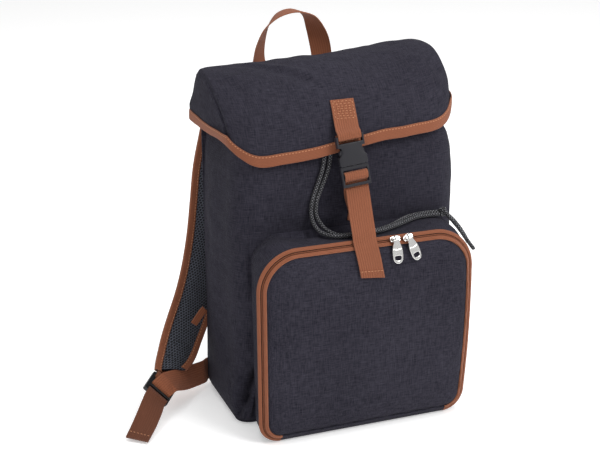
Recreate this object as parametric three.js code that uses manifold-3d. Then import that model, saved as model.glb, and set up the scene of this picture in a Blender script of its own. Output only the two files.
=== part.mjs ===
// Picnic backpack: flap-topped cloth rucksack with a zipped front pocket, standing on its base.
// Millimetres, +Z up, front towards -Y, origin on the floor under the middle of the main body.
import * as THREE from 'three';
import { mergeVertices } from 'three/addons/utils/BufferGeometryUtils.js';
import Module from 'manifold-3d';

const wasm = await Module();
wasm.setup();

// Sizes shared by several pieces
const GAP = 0.3;
const CLOTH = 1.6;
const WEB_WIDTH = 30;
const WEB_THICK = 1.6;
const HANDLE_WIDTH = 25;
const CORD = 4.6;
const CORD_SIDES = 8;
const BIND_LEG = 0.8;
const BIND_ROOM = 0.5;
const FLAP_BIND_HEIGHT = 10.5;
const FLAP_BIND_INNER = 5.5;
const PAD_BIND_WIDTH = 7;
const BUCKLE_THICK = 8;
const PLUG_THICK = 4.6;
const LOCK_THICK = 4.6;
// Steps along each bent strip and cord
const STEPS = {
  handle: 24,
  flapStrap: 24,
  front: 42,
  webbing: 34,
  loop: 18,
  pad: 14,
  tab: 6,
  cord: 28,
  cordTail: 7,
};

// Main body: one row per level, front corner radius, swell of sides and front, fuller right corner
const BODY = [
  { z: 3.4, half: 135, front: -58, corner: 16, swell: 0, belly: 0, right: 0 },
  { z: 6.5, half: 137, front: -61, corner: 18, swell: 0.5, belly: 0.5, right: 0 },
  { z: 20, half: 138.5, front: -64, corner: 24, swell: 2, belly: 1, right: 0 },
  { z: 70, half: 137.5, front: -65, corner: 33, swell: 4, belly: 1.5, right: 3 },
  { z: 140, half: 136.5, front: -65, corner: 38, swell: 5.5, belly: 2, right: 6 },
  { z: 215, half: 136, front: -65, corner: 38, swell: 5.5, belly: 2, right: 9 },
  { z: 285, half: 134.5, front: -64.5, corner: 37, swell: 3.5, belly: 1.5, right: 11 },
  { z: 325, half: 131, front: -61, corner: 35, swell: 1, belly: 0.5, right: 9 },
  { z: 352, half: 123, front: -51, corner: 32, swell: 0, belly: 0, right: 0 },
];
const BODY_BACK_Y = 61.4;
const BODY_LEVELS = 10;
const SIDE_STEPS = 5;
const CORNER_STEPS = 4;
const FRONT_STEPS = 8;

// Back panel: padded sheet behind the wrap-round wall
const BACK = {
  inner: 61.8,
  edge: 2.6,
  pad: 3.4,
  swell: 3,
  low: 3.2,
  half: 136,
  shoulder: 12,
  tuck: 0.15,
  across: 8,
  up: 10,
};
const BACK_ROUNDING = { across: 4, up: 6 };
const BASE_THICK = 3;

// Drawn-in collar under the flap: one row per level, pleat depth grows towards the mouth
const COLLAR = [
  { z: 352.4, half: 122.5, front: -50.5, back: 60.6, pleat: 0 },
  { z: 366, half: 112, front: -41, back: 57, pleat: 1.5 },
  { z: 380, half: 92, front: -22, back: 48, pleat: 3 },
  { z: 388, half: 84, front: -15, back: 44, pleat: 3.5 },
];
const COLLAR_WALL = 1.4;
const COLLAR_PLEATS = 12;
const COLLAR_STATIONS = 48;
const COLLAR_SQUARENESS = 0.45;

// Flap panel: one row per rib from the rear seam over the top and down to the front hem
const FLAP = [
  { y: 66, z: 409, tilt: 0.05, xl: -139, yl: 66, zl: 402.5, xr: 134, yr: 66, zr: 416, bend: 4 },
  { y: 44, z: 415.5, tilt: 0.045, xl: -142, yl: 46, zl: 408, xr: 136, yr: 45, zr: 421, bend: 4 },
  { y: 16, z: 417.5, tilt: 0.045, xl: -143, yl: 25, zl: 406, xr: 137.5, yr: 23, zr: 422, bend: 4 },
  { y: -12, z: 412.5, tilt: 0.04, xl: -143, yl: 8, zl: 400, xr: 138.5, yr: 3, zr: 420, bend: 4 },
  { y: -36, z: 400, tilt: 0.04, xl: -142, yl: -8, zl: 389, xr: 139, yr: -14, zr: 412.5, bend: 4.5 },
  { y: -53, z: 382, tilt: 0.042, xl: -140, yl: -20, zl: 376.5, xr: 139.5, yr: -26, zr: 401, bend: 5 },
  { y: -64, z: 362, tilt: 0.05, xl: -138, yl: -30, zl: 363, xr: 140, yr: -33, zr: 386, bend: 6 },
  { y: -70, z: 343.5, tilt: 0.065, xl: -137, yl: -36, zl: 351, xr: 140, yr: -37, zr: 371, bend: 7 },
  { y: -72.5, z: 326, tilt: 0.085, xl: -136, yl: -41, zl: 340, xr: 139.5, yr: -41, zr: 356.5, bend: 8 },
];
const FLAP_RIBS = 13;
const FLAP_ACROSS = 16;
const FLAP_CROWDING = 1.5;
// Side hems of the flap, from the rear corner to the front corner
const SIDE_HEM = { left: { x: -149.5, z: 347 }, right: { x: 147, z: 374 }, dip: 5 };
const SIDE_RIBS = 10;
const SIDE_DROP = 4;
const SIDE_START = 0.045;
const SIDE_END = 0.915;
const SIDE_SWELL = 0.045;
const SEAM_DROP = CLOTH + GAP + 0.5;

// Carry handle: middle line of the webbing and the turn of its width about the upright axis
const HANDLE = [
  { x: -56.5, y: 69.6, z: 372, turn: 0 },
  { x: -57, y: 70.8, z: 388, turn: 10 },
  { x: -58, y: 76, z: 406, turn: 38 },
  { x: -55.5, y: 77, z: 424, turn: 48 },
  { x: -48.5, y: 75, z: 444, turn: 60 },
  { x: -35, y: 72, z: 459, turn: 78 },
  { x: -16, y: 70, z: 464, turn: 92 },
  { x: 2, y: 70, z: 457.5, turn: 108 },
  { x: 12, y: 70, z: 440, turn: 134 },
  { x: 18, y: 70, z: 420, turn: 160 },
  { x: 20, y: 69.6, z: 400, turn: 177 },
  { x: 20, y: 69.75, z: 372, turn: 180 },
];

// Buckle frame: middle of the buckle on the front, its lean, and its own axes
const BUCKLE_AT = new THREE.Vector3(1, -78.4, 316);
const BUCKLE_LEAN = THREE.MathUtils.degToRad(10);
const SOCKET_TOP = 29;
const SOCKET_LOW = -7;
const SOCKET_SLOT_LOW = 20.2;
const THROAT = { half: 15.8, top: 16 };
// Right half of the socket's outline, from the top bar down
const SOCKET_OUTLINE = [
  { x: 16.5, y: 29 },
  { x: 17.6, y: 27 },
  { x: 17.6, y: 20 },
  { x: 14.6, y: 16.6 },
  { x: 13, y: 12.5 },
  { x: 14, y: 7.5 },
  { x: 18, y: 4 },
  { x: 18, y: -5 },
  { x: 16.8, y: -7 },
];
// Right half of the plug's outline: centre guide, prong, shoulder and ladder end
const PLUG_OUTLINE = [
  { x: 2.4, y: 9.5 },
  { x: 2.4, y: -7.6 },
  { x: 9.4, y: -7.6 },
  { x: 10.2, y: 4 },
  { x: 10.8, y: 14.2 },
  { x: 12.6, y: 14.2 },
  { x: 16, y: 10.6 },
  { x: 16, y: 7 },
  { x: 13.6, y: 4 },
  { x: 13.6, y: -7.6 },
  { x: 18, y: -7.6 },
  { x: 18, y: -32.5 },
];
const BAR_WIDE = 3.6;
const BAR_THICK = 2.4;
const SLOT_HALF = 15.5;
// Ladder bars shared by the plug and the strap locks, measured down from the frame's origin
const LADDER = { upper: -12, midTop: -18.2, midLow: -21.4, lower: -29 };

// Webbing on the flap, run in the buckle's frame: up along the strap and out from the bag
const FLAP_STRAP = [
  { u: 6, v: 69, n: -24.9 },
  { u: 4.4, v: 61, n: -19.4 },
  { u: 2.5, v: 52, n: -13.5 },
  { u: 0.8, v: 43, n: -8 },
  { u: 0, v: 36, n: -2.6 },
  { u: 0, v: 31.5, n: 2.6 },
  { u: 0, v: 28, n: 3.3 },
  { u: 0, v: 25, n: 2.4 },
  { u: 0, v: 24.2, n: 0 },
  { u: 0, v: 25, n: -2.2 },
  { u: 0, v: 28, n: -3.5 },
  { u: 0, v: 33, n: -6 },
  { u: 0, v: 38, n: -8.6 },
];
// Webbing through a ladder: up behind it, over the middle bar and down behind the end bar
const LADDER_WRAP = [
  { u: 0, v: -30, n: -6.3 },
  { u: 0, v: -20, n: -5.3 },
  { u: 0, v: -16, n: -3.4 },
  { u: 0, v: -14.7, n: 0 },
  { u: 0, v: -16, n: 3.2 },
  { u: 0, v: -20, n: 4 },
  { u: 0, v: -23.6, n: 2.6 },
  { u: 0, v: -25.4, n: -0.6 },
  { u: 0, v: -28, n: -3.3 },
  { u: 0, v: -32, n: -3.9 },
  { u: 0, v: -37, n: -2.6 },
];
// Lower webbing: its sewn foot, up to the plug
const FRONT_FOOT = [
  { u: -5, v: -75, n: -9.9 },
  { u: -2, v: -60, n: -9.6 },
  { u: -0.5, v: -44, n: -8.2 },
];
// Free tail over the pocket, in the bag's frame
const FRONT_TAIL = [
  { x: 7.5, y: -84, z: 266 },
  { x: 4.5, y: -97, z: 252 },
  { x: 1.5, y: -109, z: 242 },
  { x: -0.5, y: -117.6, z: 234 },
  { x: -0.5, y: -124, z: 225 },
  { x: 1.5, y: -127.2, z: 212 },
  { x: 4.6, y: -128.9, z: 193 },
];

// Drawstring strands from the collar to the knot, and the two tails beyond it
const CORD_RIGHT = [
  { x: -16, y: -53.5, z: 358 },
  { x: -17.5, y: -60, z: 348 },
  { x: -20, y: -65, z: 336 },
  { x: -22.5, y: -65.4, z: 322.4 },
  { x: -25.4, y: -67, z: 308.1 },
  { x: -30.9, y: -68.2, z: 294.6 },
  { x: -35.8, y: -68.7, z: 283.4 },
  { x: -40.2, y: -68.8, z: 272.1 },
  { x: -41.6, y: -69, z: 262.8 },
  { x: -41.2, y: -69.8, z: 253.5 },
  { x: -38.6, y: -75, z: 245.6 },
  { x: -34.8, y: -81, z: 240.4 },
  { x: -28.4, y: -88, z: 236.3 },
  { x: -20.4, y: -92, z: 234.5 },
  { x: -7.2, y: -92.5, z: 234.3 },
  { x: 10.6, y: -91.5, z: 234.3 },
  { x: 28.9, y: -89.5, z: 234.7 },
  { x: 46.7, y: -84, z: 236.1 },
  { x: 65.6, y: -76.5, z: 239.6 },
  { x: 82.9, y: -72.6, z: 240.8 },
  { x: 98.7, y: -71.6, z: 241 },
  { x: 110.9, y: -73.2, z: 240.9 },
];
const CORD_LEFT = [
  { x: -23, y: -53.5, z: 358 },
  { x: -24.5, y: -60, z: 348 },
  { x: -27, y: -65, z: 336 },
  { x: -29.6, y: -65.4, z: 322.8 },
  { x: -32.4, y: -67, z: 308.8 },
  { x: -38, y: -68.2, z: 293 },
  { x: -43, y: -68.7, z: 280.6 },
  { x: -46.6, y: -68.8, z: 267.9 },
  { x: -47.6, y: -69.2, z: 257.4 },
  { x: -47.1, y: -74, z: 247.8 },
  { x: -44.8, y: -81, z: 241.4 },
  { x: -41.3, y: -88, z: 238.4 },
  { x: -33.7, y: -94.5, z: 236.3 },
  { x: -23.1, y: -98, z: 235.3 },
  { x: -9.6, y: -98.5, z: 235.2 },
  { x: 8, y: -97.5, z: 235.2 },
  { x: 26.3, y: -96, z: 235.4 },
  { x: 44, y: -91, z: 236.2 },
  { x: 62.9, y: -83.4, z: 237.4 },
  { x: 80.3, y: -78, z: 239.2 },
  { x: 96.3, y: -77, z: 239.4 },
  { x: 110.5, y: -78.3, z: 239.6 },
];
const CORD_TAIL_FRONT = [
  { x: 120.6, y: -78.8, z: 237.2 },
  { x: 124.2, y: -86, z: 231.6 },
  { x: 128, y: -94, z: 225 },
  { x: 133.4, y: -101, z: 215 },
  { x: 138, y: -106, z: 207 },
  { x: 141.6, y: -109, z: 201.5 },
];
const CORD_TAIL_REAR = [
  { x: 122, y: -73.4, z: 237.2 },
  { x: 127.4, y: -79, z: 231.6 },
  { x: 133, y: -86, z: 223 },
  { x: 137.6, y: -92, z: 213.5 },
  { x: 140.2, y: -96, z: 205.5 },
];
const KNOT = { x: 116, y: -75.6, z: 241, long: 5.2, wide: 6, high: 6.6 };

// Front pocket: outlines from the body to the zip, each a rounded frame in X and Z
const POCKET_REAR = { mid: 7, half: 124, low: 6.5, high: 236.5, rTop: 33, rLow: 22, sag: 0 };
const POCKET_WAIST = { mid: 5, half: 129.5, low: 1, high: 235.5, rTop: 39, rLow: 23, sag: 4.5 };
const POCKET_RIM = { mid: 3, half: 132, low: 1, high: 234, rTop: 48, rLow: 25, sag: 0 };
const POCKET_INNER = { mid: 3, half: 123, low: 9.5, high: 225, rTop: 40, rLow: 17, sag: 0 };
const POCKET_Y = { waist: -90, rim: -113, inner: -120.5 };
// Lean of the pocket's right edge towards the middle at the bottom
const POCKET_SLANT = 6;
const SEW_DEPTH = 4;
const POCKET_STEPS = { low: 2, lowCorner: 3, side: 4, topCorner: 4, top: 7 };
const PANEL_RINGS = [
  { inset: 0.4, y: -120.5 },
  { inset: 5, y: -122.6 },
  { inset: 24, y: -126 },
  { inset: 62, y: -128 },
];
const ZIP_BANDS = { outer: [0, 0.37], coil: [0.41, 0.6], inner: [0.64, 0.97] };
const ZIP_THICK = 1.4;
const COIL_RISE = 0.7;
const ZIP_END_SKIP = 2;
const SILL_GAP = 0.5;

// Zip sliders on the top run and their hanging pulls
const SLIDER = {
  long: 12,
  wide: 8.6,
  high: 2.6,
  lift: 1.1,
  bridgeWide: 2.6,
  bridgeRise: 4.6,
  bar: 1.4,
  post: 1.9,
  sink: 0.2,
  bevel: 1,
};
const PULL = { half: 5.6, thick: 1.5, hole: 2.6, holeDrop: 22.5, eye: 1.8, eyeWall: 1.2, eyeHalf: 2.2 };
const PULL_SIDES = 12;
// Right half of the pull's paddle: share of its half width, and drop below the knuckle's axis
const PADDLE = [
  { share: 0.39, drop: 2.3 },
  { share: 0.39, drop: 5 },
  { share: 0.72, drop: 9 },
  { share: 1, drop: 14 },
  { share: 1, drop: 22 },
  { share: 0.8, drop: 26 },
  { share: 0.35, drop: 29 },
];
const SLIDERS = [
  { side: 'left', x: 34.5, turn: 0 },
  { side: 'right', x: 50.5, turn: 20 },
];
const PULL_HANG = THREE.MathUtils.degToRad(24);

// Shoulder straps: pad middle line, half width, and the heading of its width in plan
const PAD_LEFT = [
  { x: -98, y: 70.5, z: 386, half: 24, turn: 0 },
  { x: -100, y: 75, z: 356, half: 26, turn: 0 },
  { x: -105, y: 82.5, z: 320, half: 27, turn: 0 },
  { x: -112, y: 91, z: 276, half: 27, turn: 0 },
  { x: -116.5, y: 96, z: 230, half: 27, turn: 2 },
  { x: -122.5, y: 95.5, z: 187, half: 27, turn: 4 },
  { x: -133, y: 89.5, z: 146, half: 27, turn: 8 },
  { x: -149, y: 79, z: 106, half: 26.5, turn: 12 },
  { x: -170, y: 60, z: 72, half: 25, turn: 14 },
  { x: -184, y: 43, z: 52, half: 22, turn: 14 },
  { x: -194, y: 31, z: 42, half: 17, turn: 14 },
];
const PAD_RIGHT = [
  { x: 60, y: 72, z: 386, half: 24, turn: 0 },
  { x: 60.5, y: 76.4, z: 356, half: 26, turn: 0 },
  { x: 62, y: 86, z: 322, half: 27, turn: 0 },
  { x: 65, y: 97, z: 276, half: 27, turn: 0 },
  { x: 69, y: 105, z: 230, half: 27, turn: 0 },
  { x: 75, y: 108, z: 187, half: 27, turn: 0 },
  { x: 82, y: 105, z: 148, half: 27, turn: 0 },
  { x: 89, y: 99, z: 118, half: 25, turn: 0 },
  { x: 94, y: 94, z: 98, half: 21, turn: 0 },
  { x: 97, y: 91, z: 86, half: 17, turn: 0 },
];
// Half of the pad's section: distance from the edge and half thickness
const PAD_PROFILE = [
  { edge: GAP, thick: 1.5 },
  { edge: 8.6, thick: 1.6 },
  { edge: 12.4, thick: 3.8 },
];
const PAD_MIDDLE = 4.6;

// Ladder locks: place of the frame's origin, its bar axis and its run up towards the pad
const LOCK_LEFT = {
  at: new THREE.Vector3(-206, 18, 37.5),
  across: new THREE.Vector3(0.654, -0.353, -0.673),
  up: new THREE.Vector3(0.577, 0.805, 0.138),
};
const LOCK_RIGHT = {
  at: new THREE.Vector3(99.6, 88.2, 77),
  across: new THREE.Vector3(-1, 0, -0.1),
  up: new THREE.Vector3(-0.1, 0.18, 0.97),
};
const LOCK_OUTLINE = [
  { x: 16.5, y: 2.5 },
  { x: 17.7, y: 1 },
  { x: 17.7, y: -30.4 },
  { x: 16.5, y: -31.8 },
];
const LOCK_LOOP_SLOT = { low: -7, high: -1 };
// Left webbing through its lock: down behind the middle bar and out over the end bar
const LOCK_RUN = [
  { v: -6, n: 6.2 },
  { v: -10, n: 4.6 },
  { v: -13, n: 2.8 },
  { v: -15, n: 0 },
  { v: -16, n: -2.4 },
  { v: -19.8, n: -4 },
  { v: -23.6, n: -2.4 },
  { v: -25, n: 0 },
  { v: -26.4, n: 2.6 },
  { v: -30, n: 4.3 },
  { v: -34, n: 4.4 },
  { v: -39, n: 3.6 },
];
// Webbing from the bag's lower corner to the lock, and its tail beyond the lock
const WEB_LEFT_FOOT = [
  { x: -114, y: 66.9, z: 20, wx: 0, wy: 0, wz: 1 },
  { x: -130, y: 67.2, z: 20, wx: 0, wy: 0, wz: 1 },
  { x: -143, y: 64, z: 20, wx: -0.05, wy: 0, wz: 1 },
  { x: -154, y: 48, z: 21, wx: -0.15, wy: 0.05, wz: 1 },
  { x: -167, y: 26.5, z: 24, wx: -0.3, wy: 0.15, wz: 0.95 },
  { x: -186, y: 12.5, z: 33, wx: -0.5, wy: 0.3, wz: 0.8 },
];
const WEB_LEFT_TAIL = [
  { x: -238, y: -26, z: 20, wx: -0.7, wy: 0.45, wz: 0.5 },
  { x: -250, y: -42, z: 9, wx: -0.76, wy: 0.56, wz: 0.25 },
  { x: -261, y: -58, z: 3, wx: -0.79, wy: 0.61, wz: 0.03 },
];
const WEB_RIGHT_FOOT = [
  { x: 126, y: 65.7, z: 10, wx: 0.9, wy: 0, wz: 0.45 },
  { x: 121, y: 67, z: 22, wx: 0.9, wy: 0, wz: 0.42 },
  { x: 113, y: 72, z: 42, wx: 0.95, wy: 0, wz: 0.3 },
];
const WEB_RIGHT_TAIL = [
  { x: 104.5, y: 90, z: 26, wx: 1, wy: 0, wz: 0.05 },
  { x: 105, y: 97, z: 12, wx: 1, wy: 0, wz: 0 },
  { x: 106, y: 109, z: 4, wx: 1, wy: 0, wz: 0 },
  { x: 107, y: 126, z: 2, wx: 1, wy: 0, wz: 0 },
];
// Loop that carries a lock: round the lock's top bar, after the leg sewn to the pad's outer face
const LOOP_RUN = [
  { v: 2, n: -3.6 },
  { v: -1.6, n: -3.5 },
  { v: -3.5, n: -2.3 },
  { v: -4.2, n: 0 },
  { v: -3.5, n: 2.3 },
  { v: -1.6, n: 3.5 },
  { v: 2, n: 3.5 },
  { v: 6, n: 2.4 },
];
const LOOP_LEFT_SEWN = [
  { v: 36, n: 3.5 },
  { v: 26, n: -0.4 },
  { v: 17, n: -3.8 },
  { v: 9, n: -4.6 },
];
const LOOP_RIGHT_SEWN = [
  { v: 36, n: -3.2 },
  { v: 27, n: -3.8 },
  { v: 18, n: -4.4 },
  { v: 9, n: -4.7 },
];
const SIDE_TAB = [
  { x: -140.8, y: 57.3, z: 104.5, wx: 0.3, wy: 0, wz: 0.95 },
  { x: -145, y: 56.5, z: 101, wx: 0.5, wy: 0, wz: 0.87 },
  { x: -150.5, y: 55.5, z: 94.5, wx: 0.6, wy: 0, wz: 0.8 },
  { x: -156.5, y: 54.5, z: 87.5, wx: 0.6, wy: 0, wz: 0.8 },
];
const TAB_WIDTH = 9;
const TAB_THICK = 1.2;

// Colours of cloth, tape, plastic, metal and cord
const look = (color, roughness, metalness) => new THREE.MeshStandardMaterial({ color, roughness, metalness });
const MELANGE = look(0x3b3d45, 0.95, 0);
const MESH_CLOTH = look(0x24262d, 0.95, 0);
const TAN = look(0xa8623c, 0.85, 0);
const ZIP_DARK = look(0x8a4e30, 0.8, 0);
const PLASTIC = look(0x3d3e42, 0.55, 0);
const BLACK_PLASTIC = look(0x222226, 0.5, 0);
const NICKEL = look(0xd5d2cc, 0.25, 1);
const CORD_GREY = look(0x55575c, 0.95, 0);

const vec = (x, y, z) => new THREE.Vector3(x, y, z);
const heading = (degrees) => vec(1, 0, 0).applyAxisAngle(vec(0, 0, 1), THREE.MathUtils.degToRad(degrees));
const mix = (a, b, t) => a + (b - a) * t;

// Smooth value of every column at a place between a table's rows
function between(rows, place) {
  const last = rows.length - 1;
  const i = Math.min(Math.max(Math.floor(place), 0), last - 1);
  const f = place - i;
  const row = (k) => rows[Math.min(Math.max(k, 0), last)];
  const out = {};
  for (const key of Object.keys(rows[0])) {
    const a = row(i - 1)[key];
    const b = row(i)[key];
    const c = row(i + 1)[key];
    const d = row(i + 2)[key];
    out[key] = b + 0.5 * f * (c - a + f * (2 * a - 5 * b + 4 * c - d + f * (3 * (b - c) + d - a)));
  }
  return out;
}

// Row of a table at a height, for a table whose z only rises
function atHeight(rows, z) {
  let low = 0;
  let high = rows.length - 1;
  for (let k = 0; k < 40; k++) {
    const place = (low + high) / 2;
    if (between(rows, place).z < z) low = place;
    else high = place;
  }
  return between(rows, low);
}

// Closed mesh from points and faces, turned so that its faces look outwards
function solid(points, faces) {
  let volume = 0;
  for (const [a, b, c] of faces) {
    volume += points[a].dot(points[b].clone().cross(points[c]));
  }
  const index = faces.flatMap(([a, b, c]) => (volume < 0 ? [a, c, b] : [a, b, c]));
  const geometry = new THREE.BufferGeometry();
  geometry.setAttribute('position', new THREE.Float32BufferAttribute(points.flatMap((p) => p.toArray()), 3));
  geometry.setIndex(index);
  geometry.computeVertexNormals();
  return geometry;
}

// Wall between an outer and an inner grid of points; a ring joins its last column to its first
function wall(outer, inner, ring = false) {
  const columns = outer.length;
  const rows = outer[0].length;
  const points = [...outer.flat(), ...inner.flat()];
  const under = columns * rows;
  const faces = [];
  const quad = (a, b, c, d) => faces.push([a, b, c], [a, c, d]);
  const spans = ring ? columns : columns - 1;
  for (let i = 0; i < spans; i++) {
    const here = i * rows;
    const next = ((i + 1) % columns) * rows;
    for (let j = 0; j < rows - 1; j++) {
      quad(here + j, next + j, next + j + 1, here + j + 1);
      quad(under + here + j + 1, under + next + j + 1, under + next + j, under + here + j);
    }
    const top = rows - 1;
    quad(under + here, under + next, next, here);
    quad(here + top, next + top, under + next + top, under + here + top);
  }
  if (!ring) {
    const end = (columns - 1) * rows;
    for (let j = 0; j < rows - 1; j++) {
      quad(j, j + 1, under + j + 1, under + j);
      quad(under + end + j, under + end + j + 1, end + j + 1, end + j);
    }
  }
  return solid(points, faces);
}

// Grid moved along its own normals
function moved(grid, distance) {
  const last = grid.length - 1;
  const top = grid[0].length - 1;
  return grid.map((column, i) => column.map((p, j) => {
    const along = grid[Math.min(i + 1, last)][j].clone().sub(grid[Math.max(i - 1, 0)][j]);
    const up = column[Math.min(j + 1, top)].clone().sub(column[Math.max(j - 1, 0)]);
    return p.clone().addScaledVector(along.cross(up).normalize(), distance);
  }));
}

// Triangles that fill a flat outline, wound the way the outline runs
function capFaces(contour) {
  const faces = THREE.ShapeUtils.triangulateShape(contour, []);
  return THREE.ShapeUtils.isClockWise(contour) ? faces.map(([a, b, c]) => [c, b, a]) : faces;
}

// Solid swept from a flat section along frames, each with a place and two section axes
function sweep(frames, section) {
  const count = section.length;
  const points = frames.flatMap((f) => section.map(([a, b]) => (
    f.at.clone().addScaledVector(f.across, a).addScaledVector(f.out, b))));
  const faces = [];
  for (let k = 0; k < frames.length - 1; k++) {
    for (let s = 0; s < count; s++) {
      const a = k * count + s;
      const b = k * count + ((s + 1) % count);
      faces.push([a, b, b + count], [a, b + count, a + count]);
    }
  }
  const end = (frames.length - 1) * count;
  for (const [a, b, c] of capFaces(section.map(([a, b]) => new THREE.Vector2(a, b)))) {
    faces.push([c, b, a], [end + a, end + b, end + c]);
  }
  return solid(points, faces);
}

// Frames along a list of places with a wanted width direction at each
function framesOf(places) {
  const last = places.length - 1;
  return places.map(({ at, wide }, k) => {
    const run = places[Math.min(k + 1, last)].at.clone().sub(places[Math.max(k - 1, 0)].at).normalize();
    const across = wide.clone().addScaledVector(run, -wide.dot(run)).normalize();
    const out = run.clone().cross(across);
    return { at, across, out, run };
  });
}

const ribbonPlace = (r) => ({ at: vec(r.x, r.y, r.z), wide: vec(r.wx, r.wy, r.wz) });
const strip = (width, thick) => [
  [-width / 2, -thick / 2],
  [width / 2, -thick / 2],
  [width / 2, thick / 2],
  [-width / 2, thick / 2],
];

// Evenly spread places along a table
function along(rows, steps, make) {
  return Array.from({ length: steps + 1 }, (_, k) => make(between(rows, (k / steps) * (rows.length - 1))));
}

const toManifold = (geometry) => {
  const plain = geometry.clone();
  plain.deleteAttribute('normal');
  plain.deleteAttribute('uv');
  const merged = mergeVertices(plain);
  return new wasm.Manifold(new wasm.Mesh({
    numProp: 3,
    vertProperties: new Float32Array(merged.attributes.position.array),
    triVerts: new Uint32Array(merged.index.array),
  }));
};

const fromManifold = (body) => {
  const mesh = body.getMesh();
  const geometry = new THREE.BufferGeometry();
  geometry.setAttribute('position', new THREE.BufferAttribute(new Float32Array(mesh.vertProperties), 3));
  geometry.setIndex(new THREE.BufferAttribute(new Uint32Array(mesh.triVerts), 1));
  geometry.computeVertexNormals();
  return geometry;
};

const bag = new THREE.Group();
function add(name, geometry, material, parent = bag) {
  const mesh = new THREE.Mesh(geometry, material);
  mesh.name = name;
  parent.add(mesh);
  return mesh;
}

// Plan outline of the wrap-round wall, from the rear left edge round the front to the rear right edge
function wrapOutline(row, inset) {
  const front = row.front + inset;
  const radius = row.corner - inset;
  const turn = front + radius;
  const quarter = (extra) => {
    const half = row.half - inset;
    const points = [];
    for (let k = 0; k < SIDE_STEPS; k++) {
      const t = k / SIDE_STEPS;
      points.push([half + extra * t + row.swell * Math.sin(Math.PI * t), mix(BODY_BACK_Y, turn, t)]);
    }
    for (let k = 0; k < CORNER_STEPS; k++) {
      const angle = (k / CORNER_STEPS) * Math.PI / 2;
      points.push([half + extra - radius + radius * Math.cos(angle), turn - radius * Math.sin(angle)]);
    }
    return points;
  };
  const left = quarter(0).map(([x, y]) => [-x, y]);
  const right = quarter(row.right).reverse();
  const flat = [];
  for (let k = 0; k <= FRONT_STEPS; k++) {
    const t = k / FRONT_STEPS;
    const x = mix(row.corner - row.half, row.half + row.right - row.corner, t);
    flat.push([x, front - 4 * row.belly * t * (1 - t)]);
  }
  return [...left, ...flat, ...right];
}

// Front face of the body at a place, for the pieces that are sewn to it
function bodyFront(x, z) {
  const row = atHeight(BODY, Math.max(z, BODY[0].z));
  const middle = row.right / 2;
  const flat = row.half - row.corner + middle;
  const reach = Math.abs(x - middle);
  if (reach <= flat) return row.front - row.belly * (1 - (reach / flat) ** 2);
  const over = Math.min(reach - flat, row.corner);
  return row.front + row.corner - Math.sqrt(row.corner ** 2 - over ** 2);
}

const levels = along(BODY, BODY_LEVELS - 1, (row) => row);
const wrapGrid = (inset) => {
  const loops = levels.map((row) => wrapOutline(row, inset).map(([x, y]) => vec(x, y, row.z)));
  return loops[0].map((_, i) => loops.map((loop) => loop[i]));
};
add('body_wrap', wall(wrapGrid(0), wrapGrid(CLOTH)), MELANGE);

// Base panel under the wall's lower edge
const baseOutline = wrapOutline(BODY[0], 0).map(([x, y]) => new THREE.Vector2(x, y));
const baseDepth = { depth: BASE_THICK, bevelEnabled: false };
const basePanel = new THREE.ExtrudeGeometry(new THREE.Shape(baseOutline), baseDepth);
add('body_base', basePanel, MELANGE);

// Flap surface: rib from the rear seam to the front hem, place across from left seam to right seam
function flapPoint(rib, across) {
  const r = between(FLAP, rib);
  const side = across < 0 ? { x: r.xl, y: r.yl, z: r.zl } : { x: r.xr, y: r.yr, z: r.zr };
  const reach = Math.abs(across);
  const w = reach ** r.bend;
  const level = r.z + r.tilt * reach * side.x;
  return vec(reach * side.x, mix(r.y, side.y, w), mix(level, side.z, w));
}
const flapEdge = (rib, sign) => flapPoint(rib, sign);
const ribAt = (k, count) => (k / count) * (FLAP.length - 1);
const flapGrid = Array.from({ length: FLAP_ACROSS + 1 }, (_, i) => {
  const t = (2 * i) / FLAP_ACROSS - 1;
  const across = Math.sign(t) * (1 - (1 - Math.abs(t)) ** FLAP_CROWDING);
  return Array.from({ length: FLAP_RIBS + 1 }, (__, j) => flapPoint(ribAt(j, FLAP_RIBS), across));
});
add('flap_top', wall(flapGrid, moved(flapGrid, CLOTH)), MELANGE);

// Back panel: flat towards the bag, swelling outwards, rounded at the foot, up to the flap's rear seam
function backPoint(s, t, outer) {
  const top = flapPoint(0, s).z - CLOTH - GAP;
  const z = mix(BACK.low, top, t);
  const foot = Math.max(0, 1 - (z - BACK.low) / BACK.shoulder);
  const half = BACK.half - BACK.shoulder * BACK.tuck * foot * foot;
  const fullness = (1 - s ** BACK_ROUNDING.across) * (1 - (2 * t - 1) ** BACK_ROUNDING.up);
  const depth = BACK.edge + fullness * (BACK.pad + BACK.swell * (1 - s * s));
  return vec(s * half, outer ? BACK.inner + depth : BACK.inner, z);
}
const backGrid = (outer) => Array.from({ length: BACK.across + 1 }, (_, i) => {
  const s = Math.sin((Math.PI / 2) * ((2 * i) / BACK.across - 1));
  const upward = (j) => (1 - Math.cos((Math.PI * j) / BACK.up)) / 2;
  return Array.from({ length: BACK.up + 1 }, (__, j) => backPoint(s, upward(j), outer));
});
add('body_back', wall(backGrid(true), backGrid(false)), MELANGE);

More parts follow.
